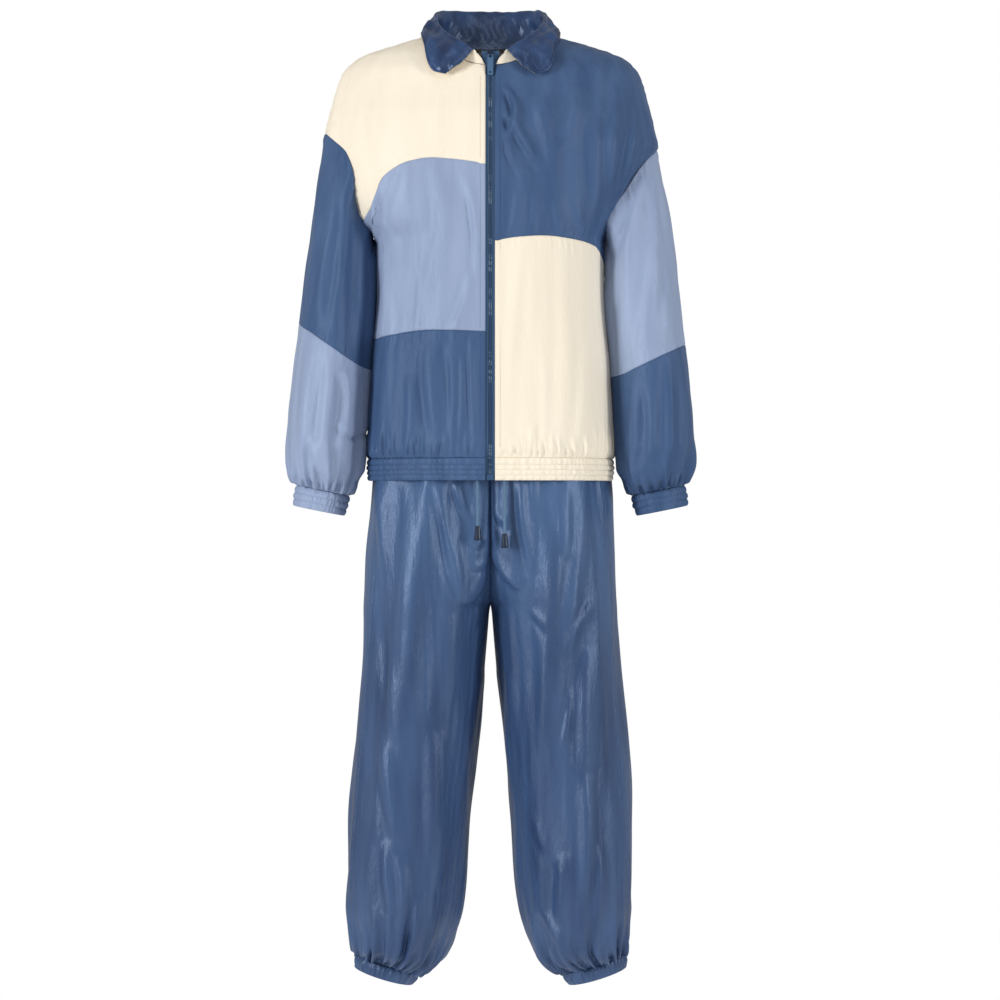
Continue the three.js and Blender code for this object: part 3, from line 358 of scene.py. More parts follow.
def front_grid(side, inner, outer, below, above):
    """Points and normals of a front panel between two seams."""
    v = np.linspace(0, 1, FRONT_COLUMNS + 1)
    last = len(inner) - 1
    low = seam_rise(side, inner[0], outer[0], below) if below else 0 * v
    high = seam_rise(side, inner[last], outer[last], above) if above else 0 * v
    share = (np.arange(last + 1) / last)[:, None]
    angle = lerp(inner[:, :1], outer[:, :1], v[None, :])
    z = lerp(inner[:, 1:], outer[:, 1:], v[None, :]) + lerp(low[None, :], high[None, :], share)
    return torso.at(side, angle, z)


def back_neck_dip(angle):
    """How far the back neckline lies below the shoulders at an angle."""
    def miss(z):
        ratio = np.minimum(1, torso.x_at(RIGHT, angle, z) / NECK_HALF_WIDTH)
        return z - (NECK_SHOULDER_Z - NECK_BACK_DROP * np.sqrt(1 - ratio**2))
    return solve(miss, NECK_SHOULDER_Z - 2 * NECK_BACK_DROP, NECK_SHOULDER_Z,
                 angle.shape) - NECK_SHOULDER_Z


def back_grid():
    """Points and normals of the back, from the hem up and from the right side to the left."""
    ends = {}
    for side in (RIGHT, LEFT):
        angle, z = front_rows(side)[1].T
        top = ARMHOLE_TOP_Z[side]
        stretch = (NECK_SHOULDER_Z - top) / (z[-1] - top)
        z = np.where(z > top, top + (z - top) * stretch, z)
        ends[side] = np.where(angle < 90, 180 - angle, angle)[:, None], z[:, None]
    a = np.linspace(-1, 1, BACK_COLUMNS + 1)[None, :]
    side = np.where(a < 0, RIGHT, LEFT)
    end_angle = np.where(a < 0, ends[RIGHT][0], ends[LEFT][0])
    angle = lerp(180, end_angle, np.abs(a))
    z = lerp(ends[RIGHT][1], ends[LEFT][1], (a + 1) / 2)
    share = np.clip((z - ARMHOLE_TOP_Z[RIGHT]) / (NECK_SHOULDER_Z - ARMHOLE_TOP_Z[RIGHT]), 0, 1)
    return torso.at(side, angle, z + share * back_neck_dip(angle))


# Sleeves: rings down the arm, tilted to match the cuff. A turn is 0 outside and 90 in front.

SLEEVE_COLUMNS = 184
SLEEVE_ROUND = 440
SLEEVE = table(
    "z x y halfWidth halfDepth tilt",
    (-330, 225.8, 0, 51.7, 80, 0),
    (-382, 228.8, -2, 54.2, 82, 0),
    (-427, 233, -4, 55, 83, 0),
    (-472, 238.5, -6, 55.5, 85, 0),
    (-517, 242.3, -8, 56.2, 87, 1),
    (-562, 245.8, -10, 57.2, 87, 2),
    (-600, 247.3, -12, 57.2, 85, 3),
    (-630, 247.5, -13, 55.5, 78, 5),
    (-650, 248.5, -14, 50.5, 66, 8),
    (-661, 249.5, -15, 45, 52, 10),
    (-668, 250.5, -15, 40, 40, 11.5),
)
# The height of each sleeve's seam in front, and how far it climbs outside
SLEEVE_SEAM = {RIGHT: (-455, 35), LEFT: (-476, 25)}
UPPER_SLEEVE_ROWS, LOWER_SLEEVE_ROWS = 78, 62
ROWS_CROWD = 1.25
# The swell of the inner front that closes the gap to the jacket, and where it starts and ends
OVERLAP, OVERLAP_TURN, OVERLAP_SPREAD = 8.4, 163, 13
OVERLAP_START, OVERLAP_END = (286, 306), (-656, -636)
WRIST = {"x": 250.5, "y": -15, "z": -668, "halfWidth": 40, "halfDepth": 40, "tilt": 11.5}


def ring_points(side, ring, turn):
    """Points of a tilted ring at turns, with the directions away from its middle."""
    cos, sin = np.cos(np.radians(turn)), np.sin(np.radians(turn))
    tilt = np.radians(ring["tilt"])
    across = stacked(side * np.cos(tilt), 0.0, np.sin(tilt))
    forward = np.array((0.0, -1.0, 0.0))
    middle = stacked(side * ring["x"], ring["y"] + 0.0, ring["z"] + 0.0)
    wide, deep = np.asarray(ring["halfWidth"], float), np.asarray(ring["halfDepth"], float)
    points = (middle + across * (wide * cos)[..., None] + forward * (deep * sin)[..., None])
    away = across * (cos / wide)[..., None] + forward * (sin / deep)[..., None]
    return points, normalised(away)


def armhole_points(side, turn):
    front = turn <= 180
    z = armhole_z(side, np.where(front, turn, 360 - turn))
    angle = armhole_angle(side, z)
    return torso.at(side, np.where(front, angle, 180 - angle), z)[0]


def tube_normals(points):
    """Outward normals of a closed tube's grid."""
    round_step = np.roll(points, -1, 1) - np.roll(points, 1, 1)
    along = np.gradient(points, axis=0)
    normal = normalised(np.cross(round_step, along))
    outward = np.sum(normal * (points - points.mean(1, keepdims=True)), axis=-1).mean()
    return normal if outward > 0 else -normal


def sleeve_grid(side):
    """Points of the whole sleeve from the armhole down, and the row that its seam is on."""
    turns = np.arange(SLEEVE_COLUMNS) * 360 / SLEEVE_COLUMNS
    top = armhole_points(side, turns)
    height, rise = SLEEVE_SEAM[side]
    columns = []
    for turn, first in zip(turns, top):
        rings = [ring_points(side, {k: v[i] for k, v in SLEEVE.items()}, np.array(turn))[0]
                 for i in range(len(SLEEVE["z"]))]
        line = table("x y z", first, *rings)
        seam = height + rise * math.cos(math.radians(turn))
        upper = np.linspace(first[2], seam, UPPER_SLEEVE_ROWS + 1)
        ease = np.linspace(0, 1, LOWER_SLEEVE_ROWS + 1)[1:]
        lower = lerp(seam, rings[-1][2], 1 - (1 - ease) ** ROWS_CROWD)
        z = np.concatenate([upper, lower])
        columns.append(stacked(curve(line, "z", "x")(z), curve(line, "z", "y")(z), z))
    return np.stack(columns, 1), UPPER_SLEEVE_ROWS


# Trousers. Each half is an ellipse cut off at the middle, down to the crotch, and a whole ellipse
# below it. A share of 0 is the centre front or the inseam, and 1 the centre back.

LEG = table(
    "z x halfWidth front back tilt",
    (-570, 55, 108, 112, 112, 0),
    (-610, 59, 112.5, 119, 116, 0),
    (-645, 62, 115, 122, 119, 0),
    (-675, 66, 114, 124, 124, 0),
    (-712, 70, 112, 125, 129, 0),
    (-757, 76, 108, 125, 132, 0),
    (-800, 83, 102.5, 124, 130, 0),
    (-825, 89, 98, 122, 126, 0),
    (-842, 94.4, 94, 120, 123, 0),
    (-870, 96.5, 93.1, 117, 120, 0),
    (-960, 104, 93, 111, 113, 0),
    (-1080, 114.3, 92, 107, 109, 0),
    (-1230, 127.5, 88.5, 104, 106, 0),
    (-1290, 131.5, 84.5, 100, 102, 3),
    (-1330, 134, 77, 92, 94, 7),
    (-1352, 138, 70, 84, 84, 10),
    (-1366, 146, 60, 70, 72, 14),
    (-1376, 154.5, 48, 47, 47, 17),
)
WAIST_HALF_WIDTH, WAIST_DEPTH = 162, 112
WAIST_TOP, WAIST_BOTTOM, WAIST_FLARE_END = -532, -570, -640
SIDE_SEAM_TURN = 152
LEG_COLUMNS = 124
LEG_TURN_STEP = 0.002
# The row heights change their step where the leg narrows and where its gathers start
LEG_NARROWS, LEG_TIGHTENS, LEG_END = -1290, -1350, -1376
LEG_STEP, LEG_FINE_STEP, LEG_LAST_ROWS = 4.5, 2.8, 16
ANKLE = {"x": 154.5, "y": 0, "z": -1376, "halfWidth": 48, "halfDepth": 47, "tilt": 17}


def waist_points(side, share, z):
    angle = np.pi * share
    power = 2 / SQUARENESS
    sin, cos = np.sin(angle), np.cos(angle)
    return stacked(
        side * WAIST_HALF_WIDTH * np.sign(sin) * np.abs(sin) ** power,
        -WAIST_DEPTH * np.sign(cos) * np.abs(cos) ** power,
        z,
    )


leg_column = {name: curve(LEG, "z", name) for name in ("x", "halfWidth", "front", "back", "tilt")}


def leg_cut(row_z):
    """The turn at which a half's ellipse meets the middle: 0 from the crotch down."""
    ratio = leg_column["x"](row_z) / leg_column["halfWidth"](row_z)
    return np.degrees(np.arccos(np.minimum(1, ratio)))


def leg_points(side, share, row_z):
    cut = leg_cut(row_z)
    turn = np.radians(lerp(cut, 360 - cut, share))
    cos, sin = np.cos(turn), np.sin(turn)
    tilt = np.radians(leg_column["tilt"](row_z))
    half = leg_column["halfWidth"](row_z)
    deep = np.where(sin > 0, leg_column["front"](row_z), leg_column["back"](row_z))
    lobe = stacked(
        side * (leg_column["x"](row_z) - half * cos * np.cos(tilt)),
        -sin * deep,
        row_z - half * cos * np.sin(tilt),
    )
    blend = smoothstep(WAIST_BOTTOM - row_z, 0, WAIST_BOTTOM - WAIST_FLARE_END)[..., None]
    return lerp(waist_points(side, share, row_z), lobe, blend)


def leg_heights():
    """The trousers' row heights, closer together near the ankle."""
    return np.concatenate([
        np.arange(WAIST_BOTTOM, LEG_NARROWS, -LEG_STEP),
        np.arange(LEG_NARROWS, LEG_TIGHTENS, -LEG_FINE_STEP),
        np.linspace(LEG_TIGHTENS, LEG_END, LEG_LAST_ROWS),
    ])


def leg_grid(side, half):
    """Points and normals of a half's front or back, from the waistband down."""
    row_z = leg_heights()[:, None]
    cut = leg_cut(row_z)
    seam = (SIDE_SEAM_TURN - cut) / (360 - 2 * cut)
    t = np.linspace(0, 1, LEG_COLUMNS + 1)[None, :]
    share = lerp(0, seam, t) if half == "front" else lerp(seam, 1, t)
    row_z = np.broadcast_to(row_z, share.shape)
    points = leg_points(side, share, row_z)
    parted = cut > 0
    low = np.where(parted, np.maximum(0, share - LEG_TURN_STEP), share - LEG_TURN_STEP)
    high = np.where(parted, np.minimum(1, share + LEG_TURN_STEP), share + LEG_TURN_STEP)
    round_step = leg_points(side, high, row_z) - leg_points(side, low, row_z)
    down_step = leg_points(side, share, row_z - 0.5) - leg_points(side, share, row_z + 0.5)
    normal = normalised(np.cross(down_step, round_step)) * side
    flat = stacked(-round_step[..., 1], round_step[..., 0], 0.0) * -side
    normal = np.where(np.sum(normal * flat, -1, keepdims=True) < 0, -normal, normal)
    return points, normal


# Folds. A fold is a line seen from the front, bent from its first point towards its second one and
# on to its third. It has a crest that is steep on its left side, and a trough beside that.

FOLD_COLUMNS = "x0 z0 x1 z1 x2 z2 height width"
FRONT_FOLDS = table(
    FOLD_COLUMNS,
    # the wearer's right shoulder and yoke
    (-205, -52, -222, -110, -196, -240, 3.4, 13),
    (-165, -60, -178, -120, -160, -188, 2.2, 12),
    (-226, -95, -236, -118, -232, -140, 1.6, 8),
    (-120, -70, -150, -120, -128, -176, 1.6, 16),
    (-62, -92, -86, -120, -74, -180, 1.2, 13),
    (-190, -170, -196, -220, -184, -268, 2.6, 7),
    # the light blue middle panel
    (-122, -195, -142, -250, -150, -330, 2.6, 14),
    (-150, -330, -156, -390, -166, -440, 2.2, 13),
    (-82, -190, -60, -270, -92, -380, 2.4, 16),
    (-46, -200, -14, -250, -19, -360, 2.6, 9),
    (-28, -350, -36, -400, -60, -440, 1.8, 9),
    (-104, -340, -100, -390, -112, -436, 1.2, 9),
    (-168, -225, -174, -262, -168, -300, 3.0, 6),
    # the dark blue bottom panel
    (-88, -448, -98, -520, -70, -606, 2.6, 13),
    (-62, -450, -48, -530, -58, -600, 1.9, 9),
    (-27, -440, -30, -520, -22, -598, 2.6, 6),
    (-41, -470, -39, -530, -45, -596, 1.8, 6),
    (-150, -452, -164, -520, -152, -606, 2.2, 15),
    (-120, -500, -114, -550, -122, -606, 1.6, 10),
    # the dark blue top panel
    (18, -74, 52, -108, 24, -150, 5.2, 6),
    (22, -112, 40, -142, 76, -206, 4.6, 8),
    (26, -150, 24, -178, 46, -210, 3.4, 6),
    (58, -80, 96, -150, 84, -210, 3.6, 16),
    (120, -70, 128, -130, 98, -176, 3.6, 15),
    (188, -70, 176, -150, 178, -258, 3.4, 11),
    (219, -105, 208, -170, 190, -232, 2.6, 9),
    (150, -120, 160, -200, 158, -290, 2.0, 15),
    (40, -226, 38, -262, 30, -300, 1.6, 8),
    (62, -226, 66, -262, 60, -298, 1.6, 8),
    (94, -240, 98, -270, 104, -300, 1.7, 9),
    (124, -244, 132, -276, 140, -304, 1.5, 8),
    # the cream bottom panel
    (46, -312, 26, -420, 30, -560, 2.4, 11),
    (67, -316, 58, -380, 61, -450, 1.5, 11),
    (102, -318, 112, -440, 106, -604, 2.4, 15),
    (138, -420, 142, -540, 128, -612, 2.0, 12),
    (160, -350, 172, -480, 168, -606, 2.4, 11),
    (78, -470, 84, -540, 76, -606, 1.4, 9),
    (10, -580, 28, -584, 46, -612, 1.6, 4),
    # the wearer's right sleeve
    (-231, -158, -222, -256, -262, -420, 3.0, 13),
    (-214, -186, -206, -290, -236, -440, 3.0, 12),
    (-195, -225, -180, -330, -196, -470, 2.8, 12),
    (-253, -179, -256, -300, -270, -430, 2.0, 12),
    (-268, -430, -272, -520, -283, -625, 2.4, 12),
    (-236, -470, -236, -540, -252, -625, 3.4, 12),
    (-216, -490, -200, -540, -224, -610, 4.2, 11),
    (-224, -568, -204, -600, -186, -560, 4.4, 8),
    (-262, -590, -256, -640, -226, -655, 3.6, 9),
    (-196, -505, -190, -540, -196, -572, 2.4, 9),
    # the wearer's left sleeve
    (233, -200, 206, -269, 180, -400, 3.0, 12),
    (246, -186, 250, -312, 222, -460, 2.8, 13),
    (262, -210, 268, -320, 262, -440, 2.2, 12),
    (208, -300, 196, -380, 198, -470, 2.4, 11),
    (212, -490, 214, -560, 206, -630, 2.8, 10),
    (226, -500, 244, -560, 232, -640, 3.2, 11),
    (262, -460, 268, -560, 262, -640, 3.0, 12),
    (282, -470, 288, -560, 284, -620, 2.0, 11),
    (214, -600, 204, -640, 226, -662, 3.8, 8),
    # the wearer's right leg
    (-119, -655, -126, -780, -118, -960, 3.6, 22),
    (-164, -655, -150, -760, -156, -900, 2.4, 15),
    (-51, -655, -48, -680, -28, -712, 2.6, 8),
    (-76, -655, -64, -740, -40, -830, 3.6, 12),
    (-42, -832, -22, -832, -8, -786, 4.6, 9),
    (-26, -868, -20, -856, -9, -842, 2.4, 7),
    (-30, -742, -20, -752, -8, -740, 2.0, 6),
    (-26, -778, -16, -786, -6, -768, 2.0, 6),
    (-88, -790, -78, -880, -82, -1010, 3.0, 15),
    (-64, -850, -58, -910, -62, -990, 2.0, 12),
    (-149, -849, -146, -930, -136, -1040, 2.6, 14),
    (-86, -1020, -84, -1140, -80, -1262, 4.0, 17),
    (-156, -1040, -146, -1110, -140, -1190, 2.8, 14),
    (-150, -1180, -160, -1240, -140, -1290, 2.6, 12),
    (-136, -1200, -122, -1260, -130, -1330, 2.6, 11),
    (-104, -1260, -108, -1310, -118, -1350, 2.8, 10),
    # the wearer's left leg
    (4, -752, 14, -800, 50, -812, 3.6, 9),
    (6, -690, 18, -722, 34, -716, 2.2, 8),
    (44, -655, 46, -720, 62, -792, 3.2, 11),
    (54, -846, 70, -852, 90, -876, 1.4, 8),
    (102, -655, 104, -720, 114, -770, 2.2, 15),
    (138, -655, 136, -780, 110, -910, 3.2, 16),
    (152, -831, 138, -850, 114, -898, 1.3, 9),
    (24, -827, 24, -930, 34, -1050, 2.4, 11),
    (78, -880, 84, -960, 80, -1060, 2.6, 17),
    (146, -900, 132, -980, 140, -1080, 3.0, 14),
    (122, -960, 116, -1000, 104, -1050, 1.8, 9),
    (56, -1140, 74, -1180, 112, -1246, 1.4, 11),
    (138, -1090, 144, -1180, 140, -1270, 3.6, 13),
    (158, -1180, 166, -1240, 154, -1300, 2.8, 11),
    (110, -1200, 98, -1250, 104, -1300, 2.2, 14),
    (78, -1290, 96, -1330, 126, -1364, 3.2, 10),
)
BACK_FOLDS = table(
    FOLD_COLUMNS,
    # the back of the jacket, which the photo doesn't show
    (-190, -60, -214, -130, -196, -250, 3.0, 14),
    (188, -60, 210, -120, 192, -240, 3.0, 14),
    (-130, -60, -150, -110, -128, -180, 1.8, 18),
    (120, -66, 142, -120, 124, -190, 1.8, 18),
    (-60, -40, -84, -100, -70, -170, 1.4, 16),
    (58, -44, 76, -96, 66, -160, 1.4, 16),
    (-150, -230, -128, -330, -140, -450, 2.8, 18),
    (150, -240, 132, -330, 146, -440, 2.8, 18),
    (-84, -260, -96, -380, -76, -500, 2.4, 20),
    (70, -280, 92, -390, 72, -520, 2.4, 20),
    (-10, -320, 12, -420, -6, -540, 1.8, 18),
    (-110, -470, -122, -540, -104, -612, 2.6, 13),
    (108, -480, 116, -550, 100, -612, 2.6, 13),
    (-44, -500, -34, -560, -46, -612, 2.2, 11),
    (38, -510, 30, -560, 44, -612, 2.2, 11),
    (-160, -500, -166, -560, -158, -612, 2.2, 11),
    (160, -490, 164, -560, 156, -612, 2.2, 11),
    # the backs of the sleeves
    (-228, -190, -218, -290, -240, -430, 3.0, 13),
    (-200, -240, -188, -340, -204, -470, 2.8, 12),
    (-262, -330, -268, -470, -276, -620, 2.4, 13),
    (-230, -470, -222, -550, -240, -640, 3.4, 12),
    (-204, -520, -198, -580, -216, -650, 2.8, 10),
    (230, -200, 214, -300, 236, -440, 3.0, 13),
    (202, -250, 190, -350, 204, -480, 2.8, 12),
    (264, -320, 270, -470, 276, -620, 2.4, 13),
    (232, -480, 224, -560, 238, -640, 3.4, 12),
    (204, -530, 200, -590, 216, -650, 2.8, 10),
    # the seat and the backs of the legs
    (-120, -655, -132, -780, -120, -940, 3.2, 22),
    (118, -655, 130, -780, 120, -950, 3.2, 22),
    (-70, -665, -58, -760, -28, -850, 3.4, 14),
    (68, -665, 56, -750, 26, -856, 3.4, 14),
    (-40, -838, -22, -846, -8, -800, 3.6, 10),
    (42, -842, 20, -850, 8, -806, 3.6, 10),
    (-90, -880, -84, -1000, -90, -1130, 3.0, 18),
    (92, -890, 88, -1010, 94, -1140, 3.0, 18),
    (-150, -900, -144, -1020, -152, -1150, 2.6, 15),
    (150, -910, 144, -1040, 154, -1160, 2.6, 15),
    (-120, -1130, -112, -1220, -124, -1300, 3.0, 15),
    (124, -1140, 116, -1230, 130, -1310, 3.0, 15),
    (-156, -1190, -164, -1250, -150, -1330, 2.8, 12),
    (168, -1180, 174, -1250, 158, -1330, 2.8, 12),
    (-90, -1230, -98, -1290, -112, -1350, 2.8, 12),
    (94, -1240, 102, -1300, 118, -1352, 2.8, 12),
)
FOLD_STEPS = 22
JACKET_GAIN, TROUSER_GAIN = 1.65, 2.2
STEEP_SIDE = 0.62
TROUGH_SHARE, TROUGH_PLACE = 0.5, 1.7
FOLD_REACH, FOLD_TAPER = 3.4, 0.7


def fold_field(x, z, folds):
    """How far folds lift the cloth, at points seen from the front."""
    lift = np.zeros(x.shape)
    flat_x, flat_z, flat_lift = x.ravel(), z.ravel(), lift.ravel()
    for x0, z0, x1, z1, x2, z2, height, width in zip(*folds.values()):
        margin = FOLD_REACH * width
        near = np.nonzero((flat_x > min(x0, x1, x2) - margin) & (flat_x < max(x0, x1, x2) + margin)
                          & (flat_z > min(z0, z1, z2) - margin)
                          & (flat_z < max(z0, z1, z2) + margin))[0]
        if len(near) == 0:
            continue
        t = np.linspace(0, 1, FOLD_STEPS + 1)
        line = np.stack([(1 - t) ** 2 * a + 2 * t * (1 - t) * b + t**2 * c
                         for a, b, c in ((x0, x1, x2), (z0, z1, z2))], 1)
        start, step = line[:-1], np.diff(line, axis=0)
        length = np.linalg.norm(step, axis=1)
        to = np.stack([flat_x[near], flat_z[near]], 1)[:, None, :] - start[None]
        share = np.clip(np.sum(to * step[None], -1) / length**2, 0, 1)
        gap = np.linalg.norm(to - share[..., None] * step[None], axis=-1)
        best = np.argmin(gap, axis=1)
        pick = np.arange(len(near)), best
        turn = step[best, 0] * to[pick][:, 1] - step[best, 1] * to[pick][:, 0]
        off = gap[pick] * np.sign(turn)
        along = (best + share[pick]) / FOLD_STEPS
        wide = np.where(off > 0, width, STEEP_SIDE * width)
        trough = STEEP_SIDE * width
        shape = (np.exp(-((off / wide) ** 2))
                 - TROUGH_SHARE * np.exp(-(((off + TROUGH_PLACE * trough) / trough) ** 2)))
        taper = np.sin(np.pi * np.clip(along, 0, 1)) ** FOLD_TAPER
        flat_lift[near] += height * shape * taper
    return flat_lift.reshape(x.shape)


def streaks(points, seed, height, wide=(26, 90), tall=(180, 600), waves=14):
    """Low, long and irregular swells that run down the cloth."""
    rng = np.random.default_rng(seed)
    total = np.zeros(points.shape[:-1])
    for _ in range(waves):
        heading = rng.uniform(0, np.pi)
        across = 2 * np.pi / rng.uniform(*wide)
        down = 2 * np.pi / rng.uniform(*tall) * rng.choice((-1, 1))
        phase = rng.uniform(0, 2 * np.pi)
        total += np.sin(across * (points[..., 0] * np.cos(heading)
                                  + points[..., 1] * np.sin(heading))
                        + down * points[..., 2] + phase)
    return height * total / math.sqrt(waves)


SWELL, FINE_SWELL, FINE_WIDTHS = 1.0, 0.4, (11, 30)
TURNS_BACK = (-0.3, 0.2)


def cloth_lift(points, normals, seed, gain=JACKET_GAIN):
    """The lift of all listed folds and of the swells, at points of any cloth surface."""
    facing = smoothstep(-normals[..., 1], *TURNS_BACK)
    front = fold_field(points[..., 0], points[..., 2], FRONT_FOLDS)
    back = fold_field(points[..., 0], points[..., 2], BACK_FOLDS)
    swell = streaks(points, seed, SWELL) + streaks(points, seed + 50, FINE_SWELL, wide=FINE_WIDTHS)
    return gain * lerp(back, front, facing) + swell


LEAST_ROOM = 0.05


def at_most(value, limit):
    """The value, bent over smoothly so that it stays under a limit."""
    room = np.maximum(limit, LEAST_ROOM)
    return np.where(value > 0, room * np.tanh(value / room), value)


# Rows of pleats at a gathered edge, with the ranges of their reach, width and height

GATHERS = {
    "hem_front": dict(count=22, reach=(14, 66), width=(2.6, 4.6), height=(2.0, 4.6)),
    "hem_back": dict(count=48, reach=(16, 70), width=(3, 5.6), height=(1.8, 4.2)),
    "collar": dict(count=34, reach=(8, 34), width=(2.4, 5), height=(0.5, 1.5)),
    "cuff_long": dict(count=20, reach=(40, 130), width=(6, 10), height=(3.4, 7)),
    "cuff_short": dict(count=32, reach=(12, 36), width=(2.8, 4.6), height=(1.2, 3.0)),
    "armhole": dict(count=34, reach=(10, 46), width=(3.6, 6), height=(0.4, 1.5)),
    "sleeve_seam": dict(count=40, reach=(8, 26), width=(3, 5), height=(0.2, 0.8)),
    "ankle_long": dict(count=30, reach=(44, 150), width=(6.5, 10), height=(5, 9.5)),
    "ankle_short": dict(count=42, reach=(14, 44), width=(4, 6), height=(1.6, 3.6)),
    "waist": dict(count=24, reach=(80, 260), width=(7, 13), height=(1.2, 3.2)),
}
PLEAT_SHIFT, PLEAT_DRIFT = 0.34, 0.35
PLEAT_NARROW, PLEAT_WIDEN = 0.5, 0.8
PLEAT_START, PLEAT_START_REACH, PLEAT_FADE_FROM = 0.35, 9, 0.3
PLEAT_TROUGH, PLEAT_TROUGH_PLACE = 0.55, 1.6


def gathers(along, away, total, count, reach, width, height, seed, closed=True):
    """Pleats that fan out from a gathered edge. along is the way along the edge and away the
    distance from it, in millimetres."""
    rng = np.random.default_rng(seed)
    lift = np.zeros(along.shape)
    pitch = total / count
    for k in range(count):
        place = (k + 0.5 + rng.uniform(-PLEAT_SHIFT, PLEAT_SHIFT)) * pitch
        long = rng.uniform(*reach)
        wide = rng.uniform(*width)
        high = rng.uniform(*height)
        drift = rng.uniform(-PLEAT_DRIFT, PLEAT_DRIFT) * pitch
        lean = rng.choice((-1, 1))
        off = along - place - drift * away / long
        if closed:
            off = (off + total / 2) % total - total / 2
        spread = wide * (PLEAT_NARROW + PLEAT_WIDEN * np.clip(away / long, 0, 1.5))
        fade = lerp(PLEAT_START, 1, smoothstep(away, 0, PLEAT_START_REACH))
        fade = fade * (1 - smoothstep(away, PLEAT_FADE_FROM * long, long))
        beside = off - lean * PLEAT_TROUGH_PLACE * spread
        lift += high * fade * (np.exp(-((off / spread) ** 2))
                               - PLEAT_TROUGH * np.exp(-((beside / spread) ** 2)))
    return lift


def turned(grid, edge):
    """The grid turned so that the named border is its first row."""
    if edge == "first":
        return grid
    if edge == "last":
        return grid[::-1]
    if edge == "start":
        return np.swapaxes(grid, 0, 1)
    return np.swapaxes(grid[:, ::-1], 0, 1)


def turned_back(grid, edge):
    if edge == "end":
        return np.swapaxes(grid, 0, 1)[:, ::-1]
    return turned(grid, edge)


def edge_measures(points, edge):
    """The way along a border and the distance from it, at each point of a grid."""
    grid = turned(points, edge)
    away = np.concatenate([np.zeros((1, grid.shape[1])),
                           np.cumsum(np.linalg.norm(np.diff(grid, axis=0), axis=-1), axis=0)])
    first = np.concatenate([[0], np.cumsum(np.linalg.norm(np.diff(grid[0], axis=0), axis=-1))])
    along = np.broadcast_to(first[None, :], away.shape)
    return turned_back(along, edge), turned_back(away, edge), first[-1]


def puckers(points, edge, seed, pitch=8.5, reach=(8, 30), width=(2, 3.4), height=(0.3, 1.1)):
    """Small pleats at a sewn edge."""
    along, away, total = edge_measures(points, edge)
    count = max(3, int(total / pitch))
    return gathers(along, away, total, count, reach, width, height, seed, closed=False)


# Meshes

SEAM_DIP = 0.7
SEAM_ROUND = 1.5
LIP, CUFF_LIP = 3.2, 6
CUFF_CALM, CUFF_CALM_REACH = 0.3, 8
LIP_LAP = 0.25


def with_lips(points, normals, edges, depth=LIP, dip=SEAM_DIP):
    """Rounds the named borders of a grid and turns them in, as a seam does."""
    for edge in edges:
        p, n = turned(points, edge), turned(normals, edge)
        step = p[1] - p[0]
        far = np.maximum(np.linalg.norm(step, axis=-1, keepdims=True), 1e-6)
        near = p[0] + step * np.minimum(0.5, SEAM_ROUND / far)
        at_middle = np.abs(p[0][:, :1]) < 0.5
        inward = normalised(np.where(at_middle, n[0] * (0, 1, 1), n[0]))
        border = p[0] - inward * dip
        lip = p[0] - step * np.minimum(0.2, LIP_LAP / far) - inward * depth
        p = np.concatenate([lip[None], border[None], near[None], p[1:]])
        n = np.concatenate([n[:1], n[:1], n[:1], n[1:]])
        points, normals = turned_back(p, edge), turned_back(n, edge)
    return points, normals


def grid_faces(rows, columns, closed, flip):
    r, c = np.meshgrid(np.arange(rows - 1), np.arange(columns if closed else columns - 1),
                       indexing="ij")
    right = (c + 1) % columns
    quads = np.stack([r * columns + c, r * columns + right, (r + 1) * columns + right,
                      (r + 1) * columns + c], -1).reshape(-1, 4)
    return quads[:, ::-1] if flip else quads


def mesh_object(name, vertices, faces, material, smooth=True):
    """A Blender object from vertices in millimetres and faces of equal size."""
    mesh = bpy.data.meshes.new(name)
    vertices = np.asarray(vertices, np.float32) * MM
    faces = np.asarray(faces, np.int32)
    size = faces.shape[1]
    mesh.vertices.add(len(vertices))
    mesh.vertices.foreach_set("co", vertices.ravel())
    mesh.loops.add(faces.size)
    mesh.loops.foreach_set("vertex_index", faces.ravel())
    mesh.polygons.add(len(faces))
    mesh.polygons.foreach_set("loop_start", np.arange(0, faces.size, size, dtype=np.int32))
    mesh.polygons.foreach_set("use_smooth", np.full(len(faces), smooth))
    mesh.update(calc_edges=True)
    mesh.validate()
    mesh.materials.append(material)
    piece = bpy.data.objects.new(name, mesh)
    bpy.context.scene.collection.objects.link(piece)
    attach(piece, BODY)
    return piece


def grid_object(name, points, normals, closed, material):
    rows, columns = points.shape[:2]
    middle_r, middle_c = rows // 2, columns // 2
    across = points[middle_r, middle_c + 1] - points[middle_r, middle_c]
    along = points[middle_r + 1, middle_c] - points[middle_r, middle_c]
    flip = np.dot(np.cross(across, along), normals[middle_r, middle_c]) < 0
    faces = grid_faces(rows, columns, closed, flip)
    return mesh_object(name, points.reshape(-1, 3), faces, material)


# Materials

def rgb(red, green, blue):
    """A linear colour from sRGB values of 0 to 255."""
    def linear(value):
        value /= 255
        return value / 12.92 if value <= 0.04045 else ((value + 0.055) / 1.055) ** 2.4
    return linear(red), linear(green), linear(blue), 1.0


def new_material(name):
    material = bpy.data.materials.new(name)
    material.use_nodes = True
    tree = material.node_tree
    return material, tree, tree.nodes["Principled BSDF"]


